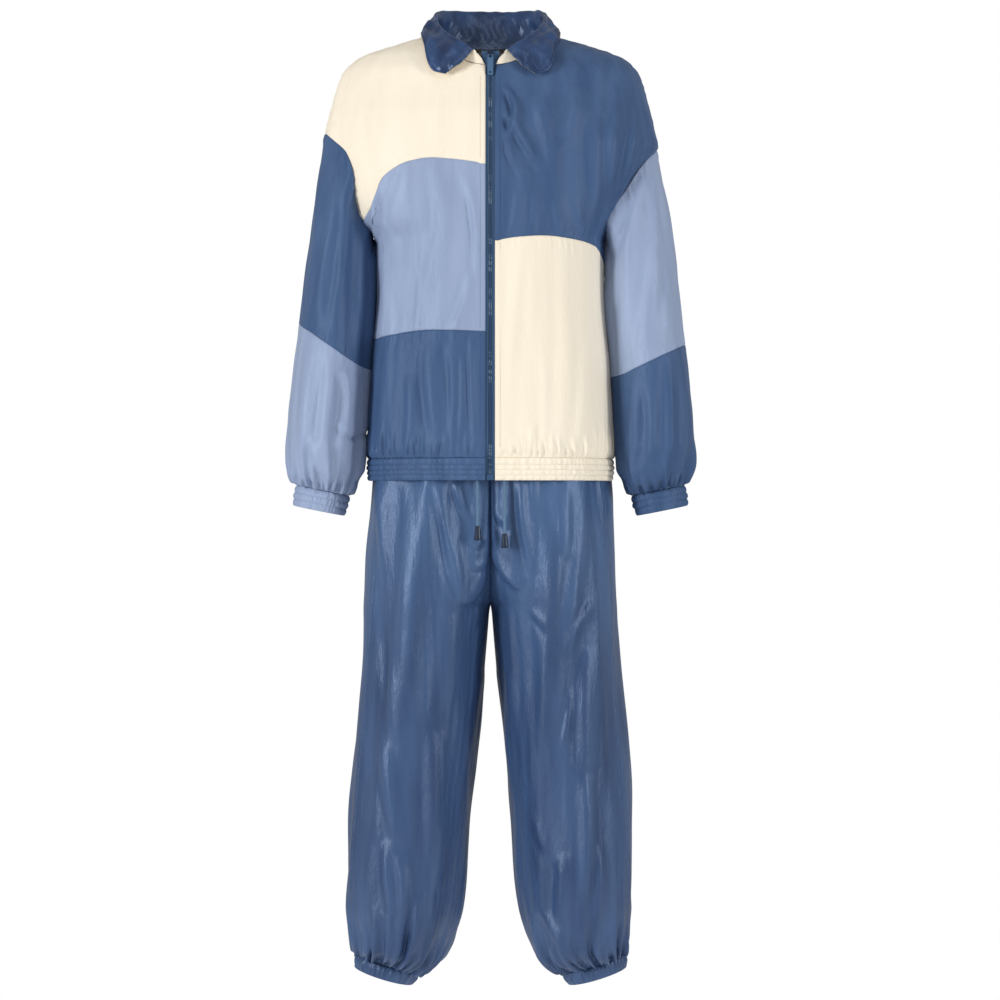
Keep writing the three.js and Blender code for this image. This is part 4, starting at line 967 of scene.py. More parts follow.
def noise(tree, scale, detail=3, roughness=0.55):
    """A noise texture that follows the part, stretched by a scale along each axis."""
    place = tree.nodes.new("ShaderNodeTexCoord")
    mapping = tree.nodes.new("ShaderNodeMapping")
    mapping.inputs["Scale"].default_value = scale
    tree.links.new(place.outputs["Object"], mapping.inputs["Vector"])
    texture = tree.nodes.new("ShaderNodeTexNoise")
    texture.inputs["Scale"].default_value = 1
    texture.inputs["Detail"].default_value = detail
    texture.inputs["Roughness"].default_value = roughness
    tree.links.new(mapping.outputs["Vector"], texture.inputs["Vector"])
    return texture


def bump(tree, height, strength, distance, under=None):
    node = tree.nodes.new("ShaderNodeBump")
    node.inputs["Strength"].default_value = strength
    node.inputs["Distance"].default_value = distance
    tree.links.new(height, node.inputs["Height"])
    if under is not None:
        tree.links.new(under, node.inputs["Normal"])
    return node.outputs["Normal"]


# The heights, in metres, over which the trousers' cloth turns to its deep colour towards the bottom:
# painted shade for the light that falls off down the legs

SHADE_RANGE = {"From Min": -1.0, "From Max": -0.68, "To Min": 0.1, "To Max": 0.95}
SHADE_SHARE = 0.62
PALE_SHINE, WHITE_SHINE = rgb(200, 219, 250), rgb(255, 255, 255)
FINE_GRAIN, WEAVE_GRAIN = (420, 420, 90), (2600, 2600, 2600)
CRINKLE_DEPTH, FINE_DEPTH, WEAVE_DEPTH = 0.004, 0.0007, 0.0002
FINE_STRENGTH, WEAVE_STRENGTH = 0.45, 0.12
# Long patches where each cloth's colour mixes with its deep colour: painted sheen streaks
SHEEN_PATCH_GRAIN, SHEEN_PATCH_RANGE = (30, 30, 4), {"From Min": 0.36, "From Max": 0.64}


def cloth_material(name, colour, deep, roughness=0.42, sheen=0.05, specular=0.4, crisp=0.4,
                   grain=(95, 95, 40), shine=PALE_SHINE, painted_shade_below=False):
    """Crisp woven nylon: a soft shine, fine crinkles that run down it and a faint weave. Painted
    sheen streaks mix its colour with deep in patches, and where asked painted shade turns it to deep
    down the legs."""
    material, tree, shader = new_material(name)
    shader.inputs["Roughness"].default_value = roughness
    shader.inputs["Specular IOR Level"].default_value = specular
    shader.inputs["Specular Tint"].default_value = shine
    shader.inputs["Sheen Weight"].default_value = sheen
    shader.inputs["Sheen Roughness"].default_value = 0.4
    shader.inputs["Sheen Tint"].default_value = colour
    # Painted sheen: lighter and darker patches in the base colour
    mix = tree.nodes.new("ShaderNodeMix")
    mix.data_type = "RGBA"
    mix.inputs["A"].default_value = deep
    mix.inputs["B"].default_value = colour
    spread = tree.nodes.new("ShaderNodeMapRange")
    for name, value in SHEEN_PATCH_RANGE.items():
        spread.inputs[name].default_value = value
    tree.links.new(noise(tree, SHEEN_PATCH_GRAIN, 2).outputs["Fac"], spread.inputs["Value"])
    factor = spread.outputs["Result"]
    # Painted shade: the cloth darkens towards its deep colour down the legs
    if painted_shade_below:
        place = tree.nodes.new("ShaderNodeTexCoord")
        split = tree.nodes.new("ShaderNodeSeparateXYZ")
        tree.links.new(place.outputs["Object"], split.inputs["Vector"])
        height = tree.nodes.new("ShaderNodeMapRange")
        for name, value in SHADE_RANGE.items():
            height.inputs[name].default_value = value
        tree.links.new(split.outputs["Z"], height.inputs["Value"])
        both = tree.nodes.new("ShaderNodeMix")
        both.inputs["Factor"].default_value = SHADE_SHARE
        tree.links.new(factor, both.inputs["A"])
        tree.links.new(height.outputs["Result"], both.inputs["B"])
        factor = both.outputs["Result"]
    tree.links.new(factor, mix.inputs["Factor"])
    tree.links.new(mix.outputs["Result"], shader.inputs["Base Color"])
    crinkle = bump(tree, noise(tree, grain, 5, 0.6).outputs["Fac"], crisp, CRINKLE_DEPTH)
    fine = bump(tree, noise(tree, FINE_GRAIN, 2).outputs["Fac"], FINE_STRENGTH, FINE_DEPTH, crinkle)
    weave = bump(tree, noise(tree, WEAVE_GRAIN, 1).outputs["Fac"], WEAVE_STRENGTH, WEAVE_DEPTH, fine)
    tree.links.new(weave, shader.inputs["Normal"])
    return material


def plain_material(name, colour, roughness, metallic=0.0, bump_scale=600.0, bump_strength=0.1):
    material, tree, shader = new_material(name)
    shader.inputs["Base Color"].default_value = colour
    shader.inputs["Roughness"].default_value = roughness
    shader.inputs["Metallic"].default_value = metallic
    grain = noise(tree, (bump_scale,) * 3, 2)
    tree.links.new(bump(tree, grain.outputs["Fac"], bump_strength, 0.0004),
                   shader.inputs["Normal"])
    return material


# Each cloth's second colour is the dark side of its painted sheen streaks
cream = cloth_material("cream_cloth", rgb(243, 233, 214), rgb(240, 229, 209), 0.6,
                       specular=0.2, crisp=0.2, shine=WHITE_SHINE)
light_blue = cloth_material("light_blue_cloth", rgb(150, 165, 194), rgb(140, 155, 184), 0.46,
                            crisp=0.32)
dark_blue = cloth_material("dark_blue_cloth", rgb(71, 95, 132), rgb(59, 83, 120), 0.5, specular=0.34,
                           crisp=0.3)
# The trousers' cloth, with painted shade that darkens it down the legs
slate_blue = cloth_material("slate_blue_cloth", rgb(72, 99, 138), rgb(40, 59, 94), 0.38,
                            specular=0.6, crisp=0.36, grain=(110, 110, 34), painted_shade_below=True)
# The dark blue cloth coloured darker: painted shade for the shadow in and under the collar
shaded_collar_blue = cloth_material("shaded_collar_cloth", rgb(43, 68, 110), rgb(27, 44, 78), 0.3,
                             specular=0.8, crisp=0.36, grain=(90, 90, 60))
tape_blue = plain_material("zip_tape", rgb(50, 82, 117), 0.75, 0, 1600, 0.5)
chain_blue = plain_material("zip_plastic", rgb(48, 76, 110), 0.35)
metal = plain_material("zip_metal", rgb(80, 112, 148), 0.3, 0.3)
cord_blue = plain_material("cord", rgb(84, 114, 144), 0.8, 0, 900, 0.9)
cord_plastic = plain_material("cord_plastic", rgb(24, 40, 62), 0.25)
slider_blue = plain_material("zip_slider", rgb(26, 44, 70), 0.3, 0.3)
glint = plain_material("zip_glint", rgb(176, 198, 220), 0.3)
# Threads darker than their cloths: partly the threads' own colour, partly painted shade of the stitch
# grooves
thread_cream = plain_material("thread_cream", rgb(196, 182, 156), 0.7)
thread_light = plain_material("thread_light", rgb(104, 124, 158), 0.7)
thread_dark = plain_material("thread_dark", rgb(44, 62, 92), 0.7)
thread_slate = plain_material("thread_slate", rgb(46, 62, 88), 0.7)
thread_deep = plain_material("thread_deep", rgb(20, 31, 54), 0.7)


def cloth_piece(node, points, normals, closed, material):
    """A cloth object that stands for a CAD node, which it hides."""
    piece = grid_object(f"{node}_cloth", points, normals, closed, material)
    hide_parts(node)


def plain_piece(name, vertices, faces, material, nodes=(), smooth=True):
    piece = mesh_object(name, vertices, faces, material, smooth)
    if nodes:
        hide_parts(*nodes)
    return piece


for side_name in SIDES:
    cords[side_name].data.materials.append(cord_blue)

# The jacket's fronts and back

COLOURS = {
    "front_right_top": cream, "front_right_middle": light_blue, "front_right_bottom": dark_blue,
    "front_left_top": dark_blue, "front_left_bottom": cream,
}
# How far the cloth may swell: anywhere, beside a sleeve and under the collar
FREE, SLEEVE_NEAR, UNDER_COLLAR = 14, 0.6, 2.5
CREAM_CALM, ZIP_CALM, ZIP_CALM_END = 0.4, 0.15, 24
# Where the cloth turns to a sleeve and lies beside it, and where it lies under the collar
FACES_SLEEVE, BESIDE_SLEEVE = (0.7, 0.96), (290, 320)
COLLAR_HEIGHTS, COLLAR_WIDTHS = (-75, -50), (105, 130)


def jacket_lift(points, normals, seed):
    """The lift on the jacket's body, kept low by the zip, under the collar and beside a sleeve."""
    x, z = np.abs(points[..., 0]), points[..., 2]
    lift = cloth_lift(points, normals, seed)
    lift = lift * lerp(ZIP_CALM, 1, smoothstep(x, ZIP_EDGE, ZIP_CALM_END))
    beside = smoothstep(np.abs(normals[..., 0]), *FACES_SLEEVE) * smoothstep(-z, *BESIDE_SLEEVE)
    collar = smoothstep(z, *COLLAR_HEIGHTS) * (1 - smoothstep(x, *COLLAR_WIDTHS))
    limit = np.minimum(lerp(FREE, SLEEVE_NEAR, beside), lerp(FREE, UNDER_COLLAR, collar))
    return at_most(lift, limit)


def add_fronts():
    for number, (node, (side, first, last, below, above)) in enumerate(PANEL_ROWS.items()):
        inner, outer = front_rows(side)
        end = len(inner) if last is None else last + 1
        points, normals = front_grid(side, inner[first:end], outer[first:end], below, above)
        lift = jacket_lift(points, normals, 3) * (CREAM_CALM if COLOURS[node] is cream else 1)
        if below is None:
            along, away, total = edge_measures(points, "first")
            lift += gathers(along, away, total, **GATHERS["hem_front"], seed=40 + number,
                            closed=False)
        else:
            lift += puckers(points, "first", 60 + number)
        if above is not None:
            lift += puckers(points, "last", 70 + number)
        else:
            lift += puckers(points, "end", 80 + number, pitch=14, reach=(12, 34), width=(3, 5))
        points = points + normals * lift[..., None]
        edges = ["first", "last", "end"] if above is not None else ["first", "end"]
        points, normals = with_lips(points, normals, edges)
        points, normals = with_lips(points, normals, ["start"], depth=2.2)
        cloth_piece(node, points, normals, False, COLOURS[node])


def add_back():
    points, normals = back_grid()
    lift = jacket_lift(points, normals, 3)
    along, away, total = edge_measures(points, "first")
    lift += gathers(along, away, total, **GATHERS["hem_back"], seed=90, closed=False)
    points = points + normals * lift[..., None]
    points, normals = with_lips(points, normals, ["first", "start", "end"])
    cloth_piece("back_panel", points, normals, False, cream)


# Elastic bands: channels between stitch lines, with fine gathers across them

CHANNEL_SHAPE, CHANNEL_SINK = 0.6, 0.55
RIPPLE_SHAPE, RIPPLE_SHIFT, RIPPLE_LEAN, RIPPLE_HEIGHTS = 0.8, 0.3, 2.2, (0.4, 1.4)
RIPPLE_WIDTH, RIPPLE_SINK, LEAST_RIPPLES = 0.3, 0.6, 6


def band_lift(along, share, total, lines, seed, fine=1.6, puff=1.5, pitch=5.2):
    """The lift of an elastic band: share is the way across it, from 0 to 1."""
    edges = np.concatenate([[0], lines, [1]])
    channel = np.clip(np.searchsorted(edges, share, side="right") - 1, 0, len(edges) - 2)
    low, high = edges[channel], edges[channel + 1]
    inside = np.clip((share - low) / (high - low), 0, 1)
    lift = puff * (np.sin(np.pi * inside) ** CHANNEL_SHAPE - CHANNEL_SINK)
    for number in range(len(edges) - 1):
        here = np.where(channel == number, np.sin(np.pi * inside) ** RIPPLE_SHAPE, 0)
        rng = np.random.default_rng(seed + number)
        count = max(LEAST_RIPPLES, int(total / pitch))
        ripple = np.zeros(along.shape)
        for k in range(count):
            place = (k + rng.uniform(-RIPPLE_SHIFT, RIPPLE_SHIFT)) * total / count
            off = (along - place + total / 2) % total - total / 2
            lean = rng.uniform(-RIPPLE_LEAN, RIPPLE_LEAN) * (inside - 0.5)
            reach = RIPPLE_WIDTH * total / count
            ripple += rng.uniform(*RIPPLE_HEIGHTS) * np.exp(-(((off - lean) / reach) ** 2))
        lift += fine * here * (ripple - RIPPLE_SINK)
    return lift


stitch_sets = {}


def stitch(material, points, normals, length=2.7, gap=1.0, radius=0.3, closed=False):
    """Lays thread stitches along a line of points."""
    if closed:
        points = np.concatenate([points, points[:1]])
        normals = np.concatenate([normals, normals[:1]])
    travel = np.concatenate([[0], np.cumsum(np.linalg.norm(np.diff(points, axis=0), axis=1))])
    count = int(travel[-1] / (length + gap))
    starts = (np.arange(count) + 0.1) * travel[-1] / count

    def at(distance, values):
        return np.stack([np.interp(distance, travel, values[:, k]) for k in range(3)], 1)

    a, b = at(starts, points), at(starts + length, points)
    up = normalised(at(starts + length / 2, normals))
    side = normalised(np.cross(b - a, up))
    middle = (a + b) / 2
    corners = [a - up * 0.1, middle + side * radius, middle + up * radius * 1.1,
               middle - side * radius, middle - up * radius, b - up * 0.1]
    vertices = np.stack(corners, 1)
    faces = np.array([(0, 1, 2), (0, 2, 3), (0, 3, 4), (0, 4, 1),
                      (5, 2, 1), (5, 3, 2), (5, 4, 3), (5, 1, 4)])
    stitch_sets.setdefault(material, []).append((vertices, faces))


def add_stitches():
    for number, (material, sets) in enumerate(stitch_sets.items()):
        vertices, faces, base = [], [], 0
        for points, pattern in sets:
            count = len(points)
            vertices.append(points.reshape(-1, 3))
            faces.append((base + np.arange(count)[:, None, None] * 6 + pattern[None]).reshape(-1, 3))
            base += count * 6
        plain_piece(f"stitches_{number}", np.concatenate(vertices), np.concatenate(faces), material)


HEM_LINES = np.array([0.3, 0.53, 0.76])
CUFF_LINES = np.array([0.36, 0.68])
WAIST_LINES = np.array([0.34, 0.66])
NO_LINES = np.array([])
BAND_ROWS = 34
# Each band's columns, its length round in millimetres, its stitch lines and its gathers
BANDS = {
    "hem_front": dict(columns=190, total=240, lines=HEM_LINES, pitch=7),
    "hem_back": dict(columns=340, total=440, lines=HEM_LINES, pitch=7),
    "cuff": dict(columns=210, total=252, lines=CUFF_LINES),
    "leg_cuff": dict(columns=220, total=300, lines=NO_LINES, fine=2.2, puff=0.6, pitch=7.5),
    "waistband": dict(columns=400, total=880, lines=WAIST_LINES, pitch=11),
}


def band_piece(node, surface, material, thread, closed, columns, total, lines, **look):
    """A band of cloth over elastic. surface gives points and normals at shares along and across."""
    u = np.linspace(0, 1, columns + 1)[:-1 if closed else None][None, :]
    v = np.linspace(0, 1, BAND_ROWS + 1)[:, None]
    u, v = np.broadcast_arrays(u, v)
    points, normals = surface(u, v)
    lift = band_lift(u * total, v, total, lines, **look)
    points = points + normals * lift[..., None]
    for line in lines:
        row = int(round(line * BAND_ROWS))
        stitch(thread, points[row] + normals[row] * 0.2, normals[row], closed=closed)
    points, normals = with_lips(points, normals, ["first"], dip=0.4)
    points, normals = with_lips(points, normals, ["last"], depth=4.5, dip=0.3)
    if not closed:
        points, normals = with_lips(points, normals, ["start", "end"], depth=2.2, dip=0.2)
    cloth_piece(node, points, normals, closed, material)


def add_hem_band():
    heights = (HEM_BAND["z"][0], HEM_BAND["z"][-1])
    for side_name, side in SIDES.items():
        def surface(u, v, side=side):
            z = lerp(*heights, v)
            start = hem_band.angle_at(side, ZIP_EDGE, z)
            return hem_band.at(side, lerp(start, SIDE_SEAM_ANGLE, u), z)
        material = dark_blue if side == RIGHT else cream
        thread = thread_dark if side == RIGHT else thread_cream
        band_piece(f"hem_band_{side_name}", surface, material, thread, False, seed=100 + side,
                   **BANDS["hem_front"])

    def back(u, v):
        a = 2 * u - 1
        z = lerp(*heights, v)
        angle = lerp(180, SIDE_SEAM_ANGLE, np.abs(a))
        return hem_band.at(np.where(a < 0, RIGHT, LEFT), angle, z)
    band_piece("hem_band_back", back, cream, thread_cream, False, seed=120, **BANDS["hem_back"])


def tilted_band(side, top, depth, bulge, end_grow):
    """A surface for a band round a wrist or an ankle, along a tilted axis from its top ring."""
    tilt = math.radians(top["tilt"])
    down = np.array((side * math.sin(tilt), 0, -math.cos(tilt)))

    def surface(u, v):
        grow = bulge * np.sin(np.pi * np.clip(v * 1.2, 0, 1)) + end_grow * v**2
        ring = dict(top)
        ring["halfWidth"], ring["halfDepth"] = top["halfWidth"] + grow, top["halfDepth"] + grow
        points, normals = ring_points(side, ring, 360 * u)
        return points + down * (depth * v)[..., None], normals
    return surface


# Sleeves and trousers

# The side of the sleeve that turns to the jacket, by its normal's inward share

SLEEVE_INWARD = (0.55, 0.95)


def from_borders(points):
    """How far each point lies from its grid's first row, and how far from its last row."""
    steps = np.linalg.norm(np.diff(points, axis=0), axis=-1)
    none = np.zeros((1, points.shape[1]))
    return (np.concatenate([none, np.cumsum(steps, axis=0)]),
            np.concatenate([np.cumsum(steps[::-1], axis=0)[::-1], none]))


def add_sleeve(side_name, upper_material, lower_material):
    side = SIDES[side_name]
    points, seam = sleeve_grid(side)
    normals = tube_normals(points)
    inward = smoothstep(-side * normals[..., 0], *SLEEVE_INWARD)
    limit = lerp(FREE, SLEEVE_NEAR, inward)
    lift = cloth_lift(points, normals, 7 + side)
    u = np.arange(SLEEVE_COLUMNS) / SLEEVE_COLUMNS
    along = np.broadcast_to(u[None, :] * SLEEVE_ROUND, lift.shape)
    from_armhole, from_cuff = from_borders(points)
    from_seam = np.abs(from_armhole - from_armhole[seam][None])
    edges = {"cuff_long": from_cuff, "cuff_short": from_cuff, "armhole": from_armhole,
             "sleeve_seam": from_seam}
    for number, (row, away) in enumerate(edges.items()):
        lift += gathers(along, away, SLEEVE_ROUND, **GATHERS[row], seed=200 + 10 * number + side)
    lift *= lerp(CUFF_CALM, 1, smoothstep(from_cuff, 0, CUFF_CALM_REACH))
    lift = at_most(lift, limit)
    turn = 360 * u[None, :]
    z = points[..., 2]
    beside = smoothstep(-z, *OVERLAP_START) * smoothstep(z, *OVERLAP_END)
    lift += OVERLAP * beside * np.exp(-(((turn - OVERLAP_TURN) / OVERLAP_SPREAD) ** 2))
    points = points + normals * lift[..., None]
    pieces = [(f"sleeve_{side_name}_upper", slice(0, seam + 1), upper_material),
              (f"sleeve_{side_name}_lower", slice(seam, None), lower_material)]
    for node, rows, material in pieces:
        p, n = with_lips(points[rows], normals[rows], ["first"])
        p, n = with_lips(p, n, ["last"], depth=LIP if rows.stop else CUFF_LIP)
        cloth_piece(node, p, n, True, material)


# How far the trousers may swell between the legs and under the jacket's hem, and where these are
LEGS_NEAR, UNDER_HEM = 0.1, 8
FACES_LEG, BETWEEN_LEGS = (0.4, 0.9), (-1010, -930)
MIDDLE_WIDTHS, MIDDLE_HEIGHTS, HEM_HEIGHTS = (0, 10), (-850, -835), (-700, -660)


def leg_limit(side, points, normals):
    """How far the trousers may swell: little between the legs and under the jacket's hem."""
    z = points[..., 2]
    inward = smoothstep(-side * normals[..., 0], *FACES_LEG)
    between = inward * smoothstep(z, *BETWEEN_LEGS)
    middle = (1 - smoothstep(np.abs(points[..., 0]), *MIDDLE_WIDTHS)) * smoothstep(z, *MIDDLE_HEIGHTS)
    limit = lerp(FREE, LEGS_NEAR, np.maximum(between, middle))
    return np.minimum(limit, lerp(FREE, UNDER_HEM, smoothstep(z, *HEM_HEIGHTS)))


LEG_ROUND = 620
LEG_SWELL = dict(height=3.6, wide=(50, 130), tall=(350, 1100), waves=9)
LEG_PUCKERS = dict(pitch=16, reach=(8, 20), width=(4, 7), height=(0.1, 0.5))
# Down to the crotch the cloth at the middle isn't pushed sideways
SIDEWAYS_FROM, SIDEWAYS_BELOW = (0, 9), (-870, -850)


def add_trousers(side_name):
    side = SIDES[side_name]
    for half in ("front", "back"):
        points, normals = leg_grid(side, half)
        lift = cloth_lift(points, normals, 11 + side, TROUSER_GAIN)
        lift += streaks(points, 31 + side, **LEG_SWELL)
        columns = points.shape[1]
        portion = SIDE_SEAM_TURN / 360
        u = np.linspace(0, portion, columns) if half == "front" else np.linspace(portion, 1, columns)
        along = np.broadcast_to(u[None, :] * LEG_ROUND, lift.shape)
        from_waist, from_ankle = from_borders(points)
        edges = {"ankle_long": from_ankle, "ankle_short": from_ankle, "waist": from_waist}
        for number, (row, away) in enumerate(edges.items()):
            lift += gathers(along, away, LEG_ROUND, **GATHERS[row], seed=300 + 10 * number + side)
        lift += puckers(points, "end" if half == "front" else "start", 330 + side,
                        **LEG_PUCKERS)
        lift *= lerp(CUFF_CALM, 1, smoothstep(from_ankle, 0, CUFF_CALM_REACH))
        away = smoothstep(np.abs(points[..., :1]), *SIDEWAYS_FROM)
        away = lerp(1, away, smoothstep(points[..., 2:], *SIDEWAYS_BELOW))
        push = normals * np.concatenate([away, np.ones_like(away), np.ones_like(away)], -1)
        points = points + push * at_most(lift, leg_limit(side, points, normals))[..., None]
        points, normals = with_lips(points, normals, ["last"], depth=CUFF_LIP)
        points, normals = with_lips(points, normals, ["first", "start", "end"])
        cloth_piece(f"trouser_{half}_{side_name}", points, normals, False, slate_blue)


def add_bands():
    for side_name, side in SIDES.items():
        wrist = tilted_band(side, WRIST, 31, 1.2, -1)
        material = light_blue if side == RIGHT else dark_blue
        thread = thread_light if side == RIGHT else thread_dark
        band_piece(f"cuff_{side_name}", wrist, material, thread, True, seed=140 + side,
                   **BANDS["cuff"])
        ankle = tilted_band(side, ANKLE, 20, 1.4, -2)
        band_piece(f"leg_cuff_{side_name}", ankle, slate_blue, thread_slate, True, seed=150 + side,
                   **BANDS["leg_cuff"])

    def waist(u, v):
        share = 2 * u
        z = lerp(WAIST_TOP, WAIST_BOTTOM, v)
        points = np.where((share <= 1)[..., None], waist_points(LEFT, share, z),
                          waist_points(RIGHT, 2 - share, z))
        return points, tube_normals(points)
    band_piece("waistband", waist, slate_blue, thread_slate, True, seed=160, **BANDS["waistband"])


# The collar: a stand that rises from the neckline, a round fold and a leaf that lies over it

FOLD_RADIUS, LEAF_BULGE, LEAF_RISE, COLLAR_LIFT = 4.5, 4, 8.5, 0.4
COLLAR_HALF = 0.9
STAND_REACH = np.array((0, 4, 7))
FRONT_BULGE = (4, -4, 0)
COLLAR = table(
    "t foldX foldY foldZ leafX leafZ",
    (0.066, 20, -93, -21, 66, -59),
    (0.3, 27, -91, -16, 82, -55),
    (0.55, 42, -80, -5, 92, -40),
    (0.78, 62, -55, 11, 97, -15),
    (1, 77, -18, 32, 102, 5),
    (1.25, 80, 18, 49, 102, 5),
    (1.5, 68, 50, 60, 85, -3),
    (1.75, 40, 70, 62, 51, -10),
    (2, 0, 78, 62, 0, -14),
)
COLLAR_STATIONS = 84
COLLAR_STEPS = 46
COLLAR_STITCH = 4.5
COLLAR_WRINKLES = dict(height=1.7, wide=(16, 40), tall=(22, 70), waves=10)
# How the collar's wrinkles fade towards its seam, its edge and its fold
SEAM_REACH, EDGE_CALM, EDGE_REACH, FOLD_CALM, FOLD_ROWS = (4, 18), 0.4, (0, 9), 0.3, (2, 8)


def collar_section(side, t):
    """The collar's section at a station, from the neckline to the leaf's edge. At the back the
    stand reaches a little way down inside the neck."""
    fold_x, fold_y, fold_z, leaf_x, leaf_z = (
        float(curve(COLLAR, "t", name)(t)) for name in ("foldX", "foldY", "foldZ", "leafX", "leafZ"))
    fold = np.array((side * fold_x, fold_y, fold_z))
    leaf_angle = float(torso.angle_at(side, leaf_x, leaf_z))
    under, normal = torso.at(side, leaf_angle if t < 1.1 else 180 - leaf_angle, leaf_z)
    edge = under + normal * LEAF_RISE
    seam = neckline(side, np.array(t)) - STAND_REACH * smoothstep(t, 1.2, 1.7)
    up = normalised(fold - seam)
    out = normalised((edge - fold) * (1, 1, 0))
    down = np.array((0, 0, -FOLD_RADIUS))
    leaf_top = fold + out * 2 * FOLD_RADIUS + down
    bulge = normalised(np.array((0, 0, 1)) + out) * LEAF_BULGE
    bulge = lerp(np.array((-side, 1, 1)) * FRONT_BULGE, bulge, smoothstep(t, 0.066, 0.34))
    return np.stack([seam + up * COLLAR_LIFT, lerp(seam, fold, 0.5), fold + down,
                     fold + out * FOLD_RADIUS, leaf_top, lerp(leaf_top, edge, 0.5) + bulge, edge])


def smooth_line(knots, count):
    """Evenly spaced points on a smooth line through knots."""
    gaps = np.linalg.norm(np.diff(knots, axis=0), axis=1)
    travel = np.concatenate([[0], np.cumsum(gaps**0.5)])
    tangent = np.gradient(knots, travel, axis=0)
    fine = np.linspace(0, travel[-1], 240)
    i = np.clip(np.searchsorted(travel, fine, side="right") - 1, 0, len(knots) - 2)
    width = (travel[i + 1] - travel[i])[:, None]
    t = ((fine - travel[i])[:, None]) / width
    line = hermite(t, width, knots[i], tangent[i], knots[i + 1], tangent[i + 1])
    far = np.concatenate([[0], np.cumsum(np.linalg.norm(np.diff(line, axis=0), axis=1))])
    even = np.linspace(0, far[-1], count)
    return np.stack([np.interp(even, far, line[:, k]) for k in range(3)], 1)


def add_collar():
    stations = np.linspace(COLLAR["t"][0], 2, COLLAR_STATIONS)
    sections = [smooth_line(collar_section(RIGHT, t), COLLAR_STEPS) for t in stations]
    sections += [smooth_line(collar_section(LEFT, t), COLLAR_STEPS) for t in stations[-2::-1]]
    points = np.stack(sections)
    round_step, over = np.gradient(points, axis=0), np.gradient(points, axis=1)
    normals = normalised(np.cross(round_step, over))
    along, away, total = edge_measures(points, "end")
    wrinkle = streaks(points, 17, **COLLAR_WRINKLES)
    wrinkle += gathers(along, away, total, **GATHERS["collar"], seed=18, closed=False)
    from_fold = np.arange(COLLAR_STEPS)[None, :] - np.argmax(points[..., 2], axis=1)[:, None]
    fade = (smoothstep(edge_measures(points, "start")[1], *SEAM_REACH)
            * lerp(EDGE_CALM, 1, smoothstep(away, *EDGE_REACH)))
    fade *= lerp(FOLD_CALM, 1, smoothstep(np.abs(from_fold), *FOLD_ROWS))
    points = points + normals * (wrinkle * fade)[..., None]
    top = points + normals * COLLAR_HALF
    step = np.linalg.norm(top[:, -1] - top[:, -2], axis=-1).mean()
    line = COLLAR_STEPS - 1 - int(round(COLLAR_STITCH / step))
    top[:, line] -= normals[:, line] * 1.1
    stitch(thread_deep, top[:, line] + normals[:, line] * 0.5, normals[:, line], gap=0.6, radius=0.4)
    for row in (4, -5):
        half = slice(COLLAR_STEPS // 2, line)
        stitch(thread_deep, top[row, half] + normals[row, half] * 0.3, normals[row, half], gap=0.6,
               radius=0.4)
    p, n = with_lips(top, normals, ["first", "last", "end"], depth=1.5, dip=0.25)
    cloth_piece("collar_top", p, n, False, shaded_collar_blue)
    under = points - normals * COLLAR_HALF
    leaf = slice(COLLAR_STEPS // 2, None)
    for end, beside in ((0, 1), (-1, -2)):
        under[end, leaf] += normalised(points[end, leaf] - points[beside, leaf]) * 1.0
    p, n = with_lips(under, -normals, ["first", "last", "end"], depth=1.2, dip=0.2)
    cloth_piece("collar_under", p, n, False, cream)


# The zip

TAPE_INNER, TAPE_OUTER = 2.8, 13
TAPE_BEHIND, TAPE_BEHIND_BAND = 3, 3.8
ZIP_TOP, ZIP_BOTTOM, CHAIN_TOP, CHAIN_BOTTOM = -22, -653.6, -33.6, -644.6
CHAIN_HALF_WIDTH = 2.4
ZIP_TOP_LINE = table("z y", (-42, -85), (-33, -86.6), (-22, -89))
TOOTH_PITCH = 1.55
zip_top_y = curve(ZIP_TOP_LINE, "z", "y")


def zip_face(z):
    """The front face of the zip's tapes at heights."""
    angle = torso.angle_at(LEFT, ZIP_EDGE, z)
    body = torso.at(LEFT, angle, z)[0][..., 1]
    band_angle = hem_band.angle_at(LEFT, ZIP_EDGE, z)
    band = hem_band.at(LEFT, band_angle, z)[0][..., 1]
    wall = lerp(TAPE_BEHIND, TAPE_BEHIND_BAND, smoothstep(HEM_Z + 12 - z, 0, 10))
    return np.where(z >= -42, zip_top_y(z), np.where(z < HEM_Z, band, body) + wall)


def strip(from_x, to_x, top, bottom, proud, wall):
    """A closed upright strip that follows the zip."""
    z = np.linspace(top, bottom, 180)
    front = zip_face(z) - proud
    corners = [(from_x, front), (to_x, front), (to_x, front + wall), (from_x, front + wall)]
    rings = np.stack([stacked(x, y, z) for x, y in corners], 1)
    count = len(z)
    faces = grid_faces(count, 4, True, False)
    ends = np.array([(3, 2, 1, 0), tuple((count - 1) * 4 + k for k in range(4))])
    return rings.reshape(-1, 3), np.concatenate([faces, ends])


def boxes(centres, size):
    """Small boxes of one size at centres, slightly narrower in front."""
    x, y, z = (s / 2 for s in size)
    corners = np.array([(-x, y, -z), (x, y, -z), (x, y, z), (-x, y, z),
                        (-0.8 * x, -y, -0.6 * z), (0.8 * x, -y, -0.6 * z),
                        (0.8 * x, -y, 0.6 * z), (-0.8 * x, -y, 0.6 * z)])
    pattern = np.array([(0, 1, 2, 3), (4, 7, 6, 5), (0, 4, 5, 1), (1, 5, 6, 2), (2, 6, 7, 3),
                        (3, 7, 4, 0)])[:, ::-1]
    vertices = (centres[:, None, :] + corners[None]).reshape(-1, 3)
    faces = (np.arange(len(centres))[:, None, None] * 8 + pattern[None]).reshape(-1, 4)
    return vertices, faces


GLINT_CLUSTERS, GLINT_REACH = 34, (3, 9)


